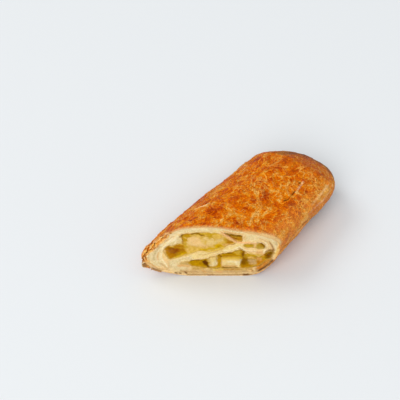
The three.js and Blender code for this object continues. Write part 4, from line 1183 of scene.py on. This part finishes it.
def crustLeaves():
    parts = []
    random = np.random.default_rng(randomSeed + 5)
    for look in rimLeaves.values():
        edge = outlinePart(np.array(look["from"]), np.array(look["to"]), 0.0)
        normal = outwardNormals(edge)
        normal[0], normal[-1] = normal[1], normal[-2]
        for shred in range(look["count"]):
            size = int(random.uniform(*look["length"]) / 0.4)
            start = int((shred + random.uniform(0, 0.9)) / look["count"] * max(len(edge) - size, 1))
            offset = random.uniform(*look["offset"])
            slope = random.uniform(-0.05, 0.05) * np.arange(size)
            line = edge[start:start + size] + normal[start:start + size] * (offset + slope)[:, None]
            if len(line) < 4:
                continue
            tone = rgb(*random.choice(shredTones)) * look["shade"]
            thick, front = random.uniform(*look["thick"]), random.uniform(*look["front"])
            parts.append(leafStrip(line, thick, front, look["back"], 0.8, tone, tone * 0.8,
                                   10 + shred + 30 * (offset > 0), look["wave"]))
    for order, curl in enumerate(footCurls):
        parts.append(leafStrip(evenLine(curl["line"], 0.3), curl["thick"], 0.5, curl["back"], 0.4,
                               curl["color"], curl["top"], 90 + order, 0.3))
    for look in crumbPlaces.values():
        for _ in range(look["count"]):
            u = random.uniform(*look["span"])
            z = np.interp(u, *look["line"]) + random.uniform(-0.4, 0.9)
            size = random.uniform(*look["size"])
            parts.append(chip((u, z, random.uniform(-0.3, 0.9)), size, random))
    points, faces, colors = joinParts(parts)
    return makeMesh("crust_leaves", points, faces, None, {"tint": colors})


def chip(place, size, random):  # a small curled flake of crust
    corners = 9
    angle = np.sort(random.uniform(0, 2 * math.pi, corners))
    reach = size * random.uniform(0.6, 1.1, corners)
    tilt = random.uniform(-0.8, 0.8, 2)
    u, z = reach * np.cos(angle), reach * np.sin(angle) * 0.7
    out = u * tilt[0] + z * tilt[1]
    tops = [facePoint(place[0] + u * s, place[1] + z * s, place[2] + out * s + 0.12 * (1 - s))
            for s in (1.0, 0.55)]
    under = facePoint(place[0] + u * 0.9, place[1] + z * 0.9, place[2] + out * 0.9 - 0.2)
    points = np.vstack([under, *tops, facePoint([place[0]], [place[1]], [place[2] + 0.15])])
    faces = ringFaces(3, corners)
    faces += fanFaces(2 * corners, corners, 3 * corners)
    faces.append(list(range(corners))[::-1])
    tone = rgb(*random.choice(crumbTones))
    return points, faces, np.tile(tone, (len(points), 1))


# Filling: a soft lumpy body in each pocket

fillingLooks = {
    "filling_upper": {
        "sink": 0.6, "lump": 0.5, "salt": 41, "base": srgb(220, 178, 84),
        "lumps": [(-15.5, 15.2, 2.4, 0.5), (-8.0, 17.6, 2.0, 0.5), (2.5, 19.5, 2.6, 0.6),
                  (10.0, 21.6, 2.4, 0.6), (-16.8, 20.6, 2.0, 0.5),
                  (20.4, 29.2, 2.2, 0.5), (9.6, 30.4, 2.0, 0.6)],
        "pool": 1.2,
    },
    "filling_side": {
        "sink": 0.5, "lump": 0.3, "salt": 42, "base": srgb(190, 156, 64), "pool": 0.8,
        "lumps": [(33.6, 24.0, 1.3, 0.6), (27.6, 24.2, 1.6, 0.2)],
    },
    "filling_lower": {
        "sink": 1.7, "lump": 0.7, "salt": 43, "base": srgb(192, 144, 44), "pool": 3.2,
        "lumps": [(33.5, 11.6, 2.2, 1.6), (36.6, 14.6, 1.8, 1.4), (-1.5, 9.2, 3.0, 0.8),
                  (30.6, 15.6, 2.4, 1.2), (-7.2, 8.8, 2.4, 1.2),
                  (25.2, 8.0, 1.8, 0.8), (38.8, 13.0, 1.6, 1.2), (39.0, 17.6, 1.6, 1.4)],
    },
}


fillingBody = {"spacing": 0.34, "gap": 0.05, "rings": 12, "ringCrowding": 1.3, "endGap": 0.006}


def seenPlace(u, z, recess):  # where a point behind the cut shows in the plane of the cut
    return np.stack([u, z + recess], 1)


def heightOverFloor(places, loop):  # how high each place lies over the loop's edge below it
    over = np.full(len(places), 99.0)
    for a, b in zip(loop, np.roll(loop, -1, 0)):
        low, high = (a, b) if a[0] < b[0] else (b, a)
        crosses = (places[:, 0] >= low[0]) & (places[:, 0] < high[0])
        share = (places[:, 0] - low[0]) / (high[0] - low[0] + 1e-9)
        drop = places[:, 1] - (low[1] + (high[1] - low[1]) * share)
        over = np.where(crosses & (drop >= 0), np.minimum(over, drop), over)
    return np.where(over > 90, 0, over)


def fillingPiece(name):
    look, pocket = fillingLooks[name], pocketShapes[name]
    loop = offsetLoop(pocketLoop(name), np.full(pocketEdge["points"], -fillingBody["gap"]))
    flat, faces = fillLoop(loop, [], fillingBody["spacing"], look["salt"])
    rim = distanceToLoop(flat, loop)
    under = heightOverFloor(flat, loop)
    sink = look["sink"] * mixed(0.15, 1, smoothStep(0, look["pool"], under))
    out = -sink + look["lump"] * roughNoise(flat[:, 0] / 3.2, flat[:, 1] / 3.2, 3, look["salt"])
    for u, z, wide, high in look["lumps"]:
        out = out + high * np.exp(-((flat[:, 0] - u) ** 2 + (flat[:, 1] - z) ** 2) / wide**2)
    out = np.minimum(out, -0.08) - 0.05 * np.exp(-rim / 0.4)
    points = facePoint(flat[:, 0], flat[:, 1], out)
    color = paintFace(seenPlace(flat[:, 0], flat[:, 1], -out), look["base"], 0.45, look["salt"])
    soaked = 0.3 * bell(rim, 0.8) * mixed(1, 0.3, smoothStep(0, 2 * look["pool"], under))
    color = deepened(mixed(color, rgb(224, 186, 110), soaked[:, None]))
    steps = fillingBody["rings"]
    stations = np.linspace(0, 1, steps + 1)[1:] ** fillingBody["ringCrowding"]
    stations = stations * (pocket["end"] - fillingBody["endGap"])
    stations = np.maximum(stations, (look["sink"] + 2.4) / rollShape["length"] + 0.01 * np.arange(steps))
    rings = []
    for step, t in enumerate(stations):
        ring = narrowed(loop, step, steps)
        rings.append(rollPoint(ring[:, 0], ring[:, 1], t))
    around, count = len(loop), len(points)
    allFaces = bodyFaces(faces, around, count, steps)
    allPoints = np.vstack([points, *rings, rings[-1].mean(0)[None]])
    color = np.vstack([color, np.tile(np.array(look["base"][:3]), (steps * around + 1, 1))])
    return makeMesh(name + "_jelly", allPoints, allFaces, None, {"tint": color})


# Apple pieces: the outline of the front at its own depth behind the cut, and how far each reaches back

applePieces = {
    "apple_1": {  # the pale cube
        "outline": [(12.0, 13.2), (12.4, 14.0), (15.0, 14.2), (19.5, 14.3), (22.4, 14.3), (23.0, 13.6),
                    (22.9, 10.8), (22.7, 8.0),
                    (22.1, 7.3), (19.0, 7.2), (15.0, 7.3), (12.8, 7.4), (12.2, 8.2), (12.1, 10.8)],
        "recess": 0.4, "deep": 8.8, "edge": 0.7, "crown": 0.25, "core": srgb(240, 212, 150),
        "rim": srgb(232, 200, 126), "side": srgb(192, 140, 20),
    },
    "apple_2": {  # the tooth
        "outline": [(5.3, 13.3), (6.4, 14.0), (8.6, 14.0), (9.4, 13.2), (9.5, 11.4), (9.2, 9.2), (8.6, 7.9),
                    (7.4, 7.4), (6.4, 7.8), (5.6, 9.2), (5.2, 11.2)],
        "recess": 0.7, "deep": 7.2, "edge": 1.1, "crown": 0.4, "core": srgb(212, 182, 104),
        "rim": srgb(206, 170, 84), "side": srgb(196, 152, 36),
    },
    "apple_3": {  # a piece farther back under the middle leaf
        "outline": [(20.9, 18.6), (22.2, 19.2), (24.2, 18.8), (25.0, 17.6), (24.9, 15.6), (23.8, 14.7),
                    (22.0, 14.8), (21.0, 15.8), (20.6, 17.2)],
        "recess": 3.2, "deep": 5.8, "edge": 1.0, "crown": 0.3, "core": srgb(208, 172, 92),
        "rim": srgb(186, 146, 60), "side": srgb(196, 156, 66),
    },
    "apple_4": {  # the large pale piece
        "outline": [(-9.2, 27.4), (-8.9, 30.6), (-7.4, 32.2), (-4.0, 32.6), (0.0, 32.4), (4.2, 32.8),
                    (8.4, 32.6), (9.9, 31.4), (10.0, 28.4), (8.6, 25.6),
                    (6.0, 23.4), (2.0, 22.2), (-2.4, 22.0), (-6.2, 22.8), (-8.4, 24.8)],
        "recess": 0.6, "deep": 7.4, "edge": 1.6, "crown": 0.7, "core": srgb(230, 196, 122),
        "rim": srgb(220, 180, 88), "side": srgb(200, 156, 48),
    },
    "apple_5": {  # the amber-brown piece at the left
        "outline": [(-19.4, 18.8), (-18.6, 20.6), (-15.6, 21.6), (-12.2, 21.2), (-10.0, 19.8), (-9.8, 17.4),
                    (-11.4, 15.8), (-14.4, 14.4), (-16.8, 14.2), (-18.8, 15.8)],
        "recess": 1.3, "deep": 6.2, "edge": 1.6, "crown": 0.5, "core": srgb(176, 112, 10),
        "rim": srgb(190, 138, 22), "side": srgb(180, 126, 20),
    },
    "apple_6": {  # brown and clear at the right of the large piece
        "outline": [(11.9, 31.6), (13.0, 32.8), (15.6, 33.0), (17.2, 32.4), (17.4, 30.8), (16.4, 29.8),
                    (14.0, 29.4), (12.2, 30.0)],
        "recess": 1.0, "deep": 6.0, "edge": 1.0, "crown": 0.4, "core": srgb(178, 122, 16),
        "rim": srgb(168, 112, 22), "side": srgb(160, 108, 20),
    },
    "apple_7": {  # mustard piece below it
        "outline": [(12.8, 26.4), (13.6, 27.8), (16.0, 28.4), (18.8, 28.0), (19.4, 26.8), (18.4, 25.2),
                    (16.0, 24.6), (13.8, 24.8)],
        "recess": 1.1, "deep": 6.0, "edge": 1.1, "crown": 0.4, "core": srgb(192, 136, 12),
        "rim": srgb(196, 150, 30), "side": srgb(186, 132, 16),
    },
    "apple_8": {  # tan piece right of the cube
        "outline": [(26.7, 13.6), (27.8, 14.8), (30.6, 15.0), (32.1, 13.8), (32.2, 11.0), (31.6, 8.9),
                    (30.0, 8.3), (27.6, 8.4), (26.7, 9.6), (26.5, 11.6)],
        "recess": 1.3, "deep": 7.0, "edge": 1.2, "crown": 0.4, "core": srgb(176, 134, 56),
        "rim": srgb(170, 124, 44), "side": srgb(160, 112, 24),
    },
    "apple_9": {  # olive-brown piece at the far right
        "outline": [(36.4, 17.6), (37.2, 19.2), (39.0, 19.2), (40.0, 18.0), (40.0, 16.4), (38.8, 15.2),
                    (37.2, 15.4), (36.5, 16.4)],
        "recess": 1.3, "deep": 6.0, "edge": 0.9, "crown": 0.3, "core": srgb(156, 104, 26),
        "rim": srgb(146, 96, 24), "side": srgb(136, 88, 18),
    },
}


appleBody = {"spacing": 0.32, "around": 84, "rings": 10, "bulge": 0.25, "relief": 0.22}


def applePiece(name, order):
    look = applePieces[name]
    around, steps = appleBody["around"], appleBody["rings"]
    loop, _ = smoothLoop(look["outline"], around)
    flat, faces = fillLoop(loop, [], appleBody["spacing"], 80 + order)
    rim = distanceToLoop(flat, loop)
    edge = look["edge"]
    roundOff = 1 - np.sqrt(np.clip(1 - (1 - np.clip(rim / edge, 0, 1)) ** 2, 0, 1))
    relief = appleBody["relief"] * roughNoise(flat[:, 0] / 1.8 + order * 7, flat[:, 1] / 1.8, 3, 50 + order)
    crown = look["crown"] * smoothStep(0, 3, rim)
    depth = look["recess"] + edge * 0.8 * roundOff - relief * smoothStep(0, 1,
        rim) - crown + 0.5 * look["crown"]
    points = facePoint(flat[:, 0], flat[:, 1], -depth)
    share = smoothStep(0, edge + 0.8, rim)[:, None]
    base = mixed(np.array(look["rim"][:3]), np.array(look["core"][:3]), share)
    painted = deepened(paintFace(seenPlace(flat[:, 0], flat[:, 1], depth), base, 0.35, order, 0.4))
    parts, colors = [points], [painted]
    start = depth[:around]
    middle = loop.mean(0)
    for step in range(1, steps + 1):
        share = step / steps
        grow = 1 + 0.05 * math.sin(math.pi * share) - 0.25 * max(0, share - 0.8) / 0.2 * 0.8
        ring = middle + (loop - middle) * grow
        bulge = appleBody["bulge"] * roughNoise(np.arange(around) / 9 + order, share * 4, 2, 30 + order)
        ring = ring + outwardNormals(loop) * bulge[:, None]
        ringDepth = mixed(start, look["recess"] + look["deep"], share)
        parts.append(facePoint(ring[:, 0], ring[:, 1], -ringDepth))
        side = np.tile(np.array(look["side"][:3]), (around, 1))
        blend = math.exp(-share * 10)
        colors.append(mixed(side, painted[:around], blend))
    back = middle[None]
    parts.append(facePoint(back[:, 0], back[:, 1], [-(look["recess"] + look["deep"])]))
    colors.append(np.array(look["side"][:3])[None])
    allFaces = bodyFaces(faces, around, len(points), steps)
    return makeMesh(name + "_chunk", np.vstack(parts), allFaces, None, {"tint": np.vstack(colors)})


# Materials

def newMaterial(name):
    material = bpy.data.materials.new(name)
    material.use_nodes = True
    tree = material.node_tree
    return material, tree, tree.nodes["Principled BSDF"]


def addNode(tree, kind, **settings):
    node = tree.nodes.new(kind)
    for key, value in settings.items():
        setattr(node, key, value)
    return node


def feed(tree, socket, value):
    if isinstance(value, bpy.types.NodeSocket):
        tree.links.new(value, socket)
    else:
        socket.default_value = value


def mixColors(tree, factor, low, high, blend="MIX"):
    node = addNode(tree, "ShaderNodeMix", data_type="RGBA", blend_type=blend)
    for index, value in ((0, factor), (6, low), (7, high)):
        feed(tree, node.inputs[index], value)
    return node.outputs[2]


def calculate(tree, operation, first, second=0.0):
    node = addNode(tree, "ShaderNodeMath", operation=operation)
    feed(tree, node.inputs[0], first)
    feed(tree, node.inputs[1], second)
    return node.outputs[0]


def scaled(tree, value, amount):
    return calculate(tree, "MULTIPLY", value, amount)


def setValues(node, values):
    for key, value in values.items():
        node.inputs[key].default_value = value


def remap(tree, value, low, high, toLow=0.0, toHigh=1.0):
    node = addNode(tree, "ShaderNodeMapRange", interpolation_type="SMOOTHSTEP")
    feed(tree, node.inputs["Value"], value)
    setValues(node, {"From Min": low, "From Max": high, "To Min": toLow, "To Max": toHigh})
    return node.outputs["Result"]


def readMask(tree, name, output="Fac"):
    return addNode(tree, "ShaderNodeAttribute", attribute_name=name).outputs[output]


def makeGrainGroup():  # uneven baked surface: slow mottling, fine grain, specks and a height for bump
    group = bpy.data.node_groups.new("bakedGrain", "ShaderNodeTree")
    for name, value in (("Mottle Scale", 120.0), ("Grain Scale", 900.0), ("Speck Scale", 1500.0),
                        ("Vein Scale", 220.0)):
        socket = group.interface.new_socket(name, in_out="INPUT", socket_type="NodeSocketFloat")
        socket.default_value = value
    for name in ("Mottle", "Grain", "Speck", "Vein", "Height"):
        group.interface.new_socket(name, in_out="OUTPUT", socket_type="NodeSocketFloat")
    inside = addNode(group, "NodeGroupInput")
    outside = addNode(group, "NodeGroupOutput")
    place = addNode(group, "ShaderNodeTexCoord").outputs["Object"]
    values = {}
    for name, scale, detail, roughness, distortion in (
            ("Mottle", "Mottle Scale", 5.0, 0.6, 0.6), ("Grain", "Grain Scale", 4.0, 0.62, 0.3),
            ("Speck", "Speck Scale", 2.0, 0.5, 0.0), ("Vein", "Vein Scale", 2.0, 0.5, 1.2)):
        noise = addNode(group, "ShaderNodeTexNoise")
        group.links.new(place, noise.inputs["Vector"])
        group.links.new(inside.outputs[scale], noise.inputs["Scale"])
        setValues(noise, {"Detail": detail, "Roughness": roughness, "Distortion": distortion})
        values[name] = noise.outputs["Fac"]
    for name, low, high in (("Mottle", 0.36, 0.64), ("Grain", 0.38, 0.62), ("Speck", 0.62, 0.74)):
        group.links.new(remap(group, values[name], low, high), outside.inputs[name])
    aside = calculate(group, "ABSOLUTE", calculate(group, "SUBTRACT", values["Vein"], 0.5))
    thin = scaled(group, remap(group, aside, 0.034, 0.008), remap(group, values["Mottle"], 0.6, 0.45))
    group.links.new(thin, outside.inputs["Vein"])
    height = calculate(group, "ADD", scaled(group, values["Mottle"], 0.5), values["Grain"])
    group.links.new(height, outside.inputs["Height"])
    return group


def placeGrain(tree, group, mottle, grain, speck, vein=220):
    node = addNode(tree, "ShaderNodeGroup", node_tree=group)
    setValues(node, {"Mottle Scale": mottle, "Grain Scale": grain, "Speck Scale": speck, "Vein Scale": vein})
    return node.outputs


def addBump(tree, shader, height, strength, distance):
    node = addNode(tree, "ShaderNodeBump")
    setValues(node, {"Strength": strength, "Distance": distance})
    tree.links.new(height, node.inputs["Height"])
    tree.links.new(node.outputs["Normal"], shader.inputs["Normal"])


crustTones = [(0.0, srgb(255, 198, 112)), (0.18, srgb(253, 174, 54)), (0.36, srgb(249, 149, 10)),
              (0.54, srgb(240, 126, 0)),
              (0.74, srgb(220, 99, 0)), (1.0, srgb(176, 64, 0))]


crustFinish = {  # how strongly each thing browns or pales the crust
    "start": 0.155, "darkening": 0.42, "pale": 0.56, "mottle": 0.36, "fineMottle": 0.24, "grain": 0.1,
    "bump": 0.8, "bumpDepth": 0.0008,
}
crustLayers = [  # mask, strength and colour, one laid over the other
    # light is a painted light on the right flank
    ("light", 0.34, srgb(252, 188, 104)), ("toast", 0.6, srgb(164, 96, 36)),
    ("torn", 0.75, srgb(252, 214, 168)),
]


def crustMaterial(group):
    look, (light, toast, torn) = crustFinish, crustLayers
    material, tree, shader = newMaterial("bakedCrust")

    def layer(color, mask, strength, tone):
        return mixColors(tree, scaled(tree, mask, strength), color, tone)

    grain = placeGrain(tree, group, 120, 900, 1300, 110)
    fine = placeGrain(tree, group, 400, 1600, 2600, 230)
    darkening, pale, dull = readMask(tree, "darkening"), readMask(tree, "pale"), readMask(tree, "dull")
    bake = calculate(tree, "ADD", look["start"], scaled(tree, darkening, look["darkening"]))
    bake = calculate(tree, "SUBTRACT", bake, scaled(tree, pale, look["pale"]))
    for share, amount in ((grain["Mottle"], look["mottle"]), (fine["Mottle"], look["fineMottle"]),
                          (grain["Grain"], look["grain"])):
        bake = calculate(tree, "ADD", bake, scaled(tree, share, amount))
    ramp = addNode(tree, "ShaderNodeValToRGB")
    tree.links.new(bake, ramp.inputs["Fac"])
    steps = ramp.color_ramp.elements
    (_, steps[0].color), (_, steps[1].color) = crustTones[0], crustTones[-1]
    for place, tone in crustTones[1:-1]:
        steps.new(place).color = tone
    color = layer(ramp.outputs["Color"], dull, 0.5, srgb(200, 114, 38))
    # painted shade: thin dark lines as the shadows of wrinkles
    color = layer(color, fine["Vein"], 0.45, srgb(190, 84, 0))
    color = layer(color, grain["Vein"], 0.75, srgb(255, 186, 92))
    # painted light on the right flank
    color = layer(color, readMask(tree, light[0]), *light[1:])
    color = mixColors(tree, fine["Grain"], color, srgb(230, 204, 146), "MULTIPLY")
    color = layer(color, grain["Speck"], 0.35, srgb(128, 60, 12))
    color = mixColors(tree, readMask(tree, "cream"), color, srgb(240, 198, 134))
    color = layer(color, readMask(tree, toast[0]), *toast[1:])
    color = layer(color, readMask(tree, torn[0]), *torn[1:])
    # dark mask: cracks and browning, with the painted shade
    color = mixColors(tree, readMask(tree, "dark"), color, srgb(92, 44, 14))
    tree.links.new(color, shader.inputs["Base Color"])
    rough = remap(tree, darkening, 0.0, 1.0, 0.52, 0.38)
    tree.links.new(rough, shader.inputs["Roughness"])
    setValues(shader, {"Specular IOR Level": 0.1, "Specular Tint": srgb(255, 180, 80)})
    height = calculate(tree, "ADD", grain["Height"], scaled(tree, fine["Height"], 0.5))
    height = calculate(tree, "SUBTRACT", height, scaled(tree, fine["Vein"], 0.4))
    height = calculate(tree, "ADD", height, scaled(tree, grain["Vein"], 0.4))
    addBump(tree, shader, height, look["bump"], look["bumpDepth"])
    return material


def doughMaterial(group):
    material, tree, shader = newMaterial("bakedDough")
    grain = placeGrain(tree, group, 260, 1100, 1700)
    tint = readMask(tree, "tint", "Color")
    color = mixColors(tree, scaled(tree, grain["Mottle"], 0.2), tint, srgb(255, 250, 235), "SOFT_LIGHT")
    color = mixColors(tree, scaled(tree, grain["Grain"], 0.25), color, srgb(220, 202, 178), "MULTIPLY")
    color = mixColors(tree, scaled(tree, grain["Vein"], 0.5), color, srgb(255, 252, 244), "SOFT_LIGHT")
    color = mixColors(tree, scaled(tree, grain["Speck"], 0.35), color, srgb(193, 155, 115), "MULTIPLY")
    tree.links.new(color, shader.inputs["Base Color"])
    setValues(shader, {"Roughness": 0.62, "Specular IOR Level": 0.12, "Specular Tint": srgb(255, 214, 140),
                       "Subsurface Weight": 0.12, "Subsurface Radius": (0.0016, 0.001, 0.0005)})
    addBump(tree, shader, grain["Height"], 0.6, 0.0004)
    return material


def moistMaterial(group, name, roughness, softness, gloss, uneven):
    material, tree, shader = newMaterial(name)
    grain = placeGrain(tree, group, 300, 900, 1300)
    tint = readMask(tree, "tint", "Color")
    color = mixColors(tree, scaled(tree, grain["Mottle"], uneven), tint, srgb(232, 226, 206), "MULTIPLY")
    color = mixColors(tree, scaled(tree, grain["Grain"], uneven), color, srgb(222, 214, 190), "MULTIPLY")
    tree.links.new(color, shader.inputs["Base Color"])
    setValues(shader, {"Roughness": roughness, "Specular IOR Level": gloss,
                       "Specular Tint": srgb(255, 206, 90),
                       "Subsurface Weight": softness, "Subsurface Radius": (0.003, 0.002, 0.0006)})
    addBump(tree, shader, grain["Height"], 0.4, 0.0003)
    return material


# Camera, light and floor

cameraView = {
    "focal": 2250.0,  # in pixels of a 400 wide frame
    "frame": 400.0,
    "elevation": math.radians(45),
    "cutToAim": 60.71,  # how far the cut's foot lies in front of the point aimed at
    "scale": 1.706,  # pixels for each millimetre at the point aimed at
}

studio = {
    "key": {"right": -2.4, "away": 1.0, "up": 3.2, "size": 2.4, "power": 42.0, "color": (1.0, 0.99, 0.97)},
    "front": {"right": -0.9, "away": -3.2, "up": 2.6, "size": 3.0, "power": 98.0, "color": (1.0, 1.0, 1.0)},
    "sky": 0.56,
    "floor": srgb(231, 235, 238),
    "floorReach": 3000.0,
}


def placeCamera():
    look = cameraView
    distance = look["focal"] / look["scale"]
    aim = rollOffset - look["cutToAim"] * faceNormal
    back = faceNormal * distance * math.cos(look["elevation"])
    eye = aim + back + np.array([0, 0, distance * math.sin(look["elevation"])])
    data = bpy.data.cameras.new("camera")
    data.sensor_width = 36
    data.lens = look["focal"] / look["frame"] * data.sensor_width
    data.clip_start, data.clip_end = 0.05, 20
    camera = bpy.data.objects.new("camera", data)
    bpy.context.scene.collection.objects.link(camera)
    camera.location = Vector(eye * millimetre)
    camera.rotation_euler = Vector((aim - eye).tolist()).to_track_quat("-Z", "Y").to_euler()
    bpy.context.scene.camera = camera


def placeLights():
    right, away, up = Vector(faceAlong.tolist()), Vector((-faceNormal).tolist()), Vector((0, 0, 1))
    target = Vector((0, 0, 0.02))
    for name in ("key", "front"):
        look = studio[name]
        data = bpy.data.lights.new(name, "AREA")
        data.shape = "DISK"
        data.size = look["size"]
        data.energy = look["power"]
        data.color = look["color"]
        lamp = bpy.data.objects.new(name, data)
        bpy.context.scene.collection.objects.link(lamp)
        lamp.location = right * look["right"] + away * look["away"] + up * look["up"]
        lamp.rotation_euler = (target - lamp.location).to_track_quat("-Z", "Y").to_euler()
    world = bpy.data.worlds.new("studio")
    bpy.context.scene.world = world
    world.use_nodes = True
    setValues(world.node_tree.nodes["Background"], {"Color": (1.0, 1.0, 1.0, 1), "Strength": studio["sky"]})
    bpy.context.scene.view_settings.view_transform = "Standard"


def placeFloor():
    size = studio["floorReach"]
    corners = [(-size, -size, 0), (size, -size, 0), (size, size, 0), (-size, size, 0)]
    floor = makeMesh("floor", corners, [(0, 1, 2, 3)])
    material, _, shader = newMaterial("paleFloor")
    setValues(shader, {"Base Color": studio["floor"], "Roughness": 0.7, "Specular IOR Level": 0.1})
    floor.data.materials.append(material)


def addPiece(piece, material, node):
    piece.data.materials.append(material)
    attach(piece, "root")
    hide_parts(node)


placeCamera()
placeLights()
placeFloor()
print("camera, lights and floor placed")

grainGroup = makeGrainGroup()
crust = crustPiece()
addPiece(crust, crustMaterial(grainGroup), "pastry")
print("crust made", len(crust.data.polygons))

dough = doughPiece()
doughSkin = doughMaterial(grainGroup)
addPiece(dough, doughSkin, "pastry")
addPiece(doughLeaves(), doughSkin, "pastry")
addPiece(crustLeaves(), doughSkin, "pastry")
print("dough and loose leaves made", len(dough.data.polygons))

jelly = moistMaterial(grainGroup, "cookedFilling", 0.3, 0.05, 0.12, 0.5)
for name in fillingLooks:
    addPiece(fillingPiece(name), jelly, name)
print("filling made")

flesh = moistMaterial(grainGroup, "cookedApple", 0.4, 0.1, 0.12, 0.3)
for order, name in enumerate(applePieces):
    addPiece(applePiece(name, order), flesh, name)
print("apple pieces made")
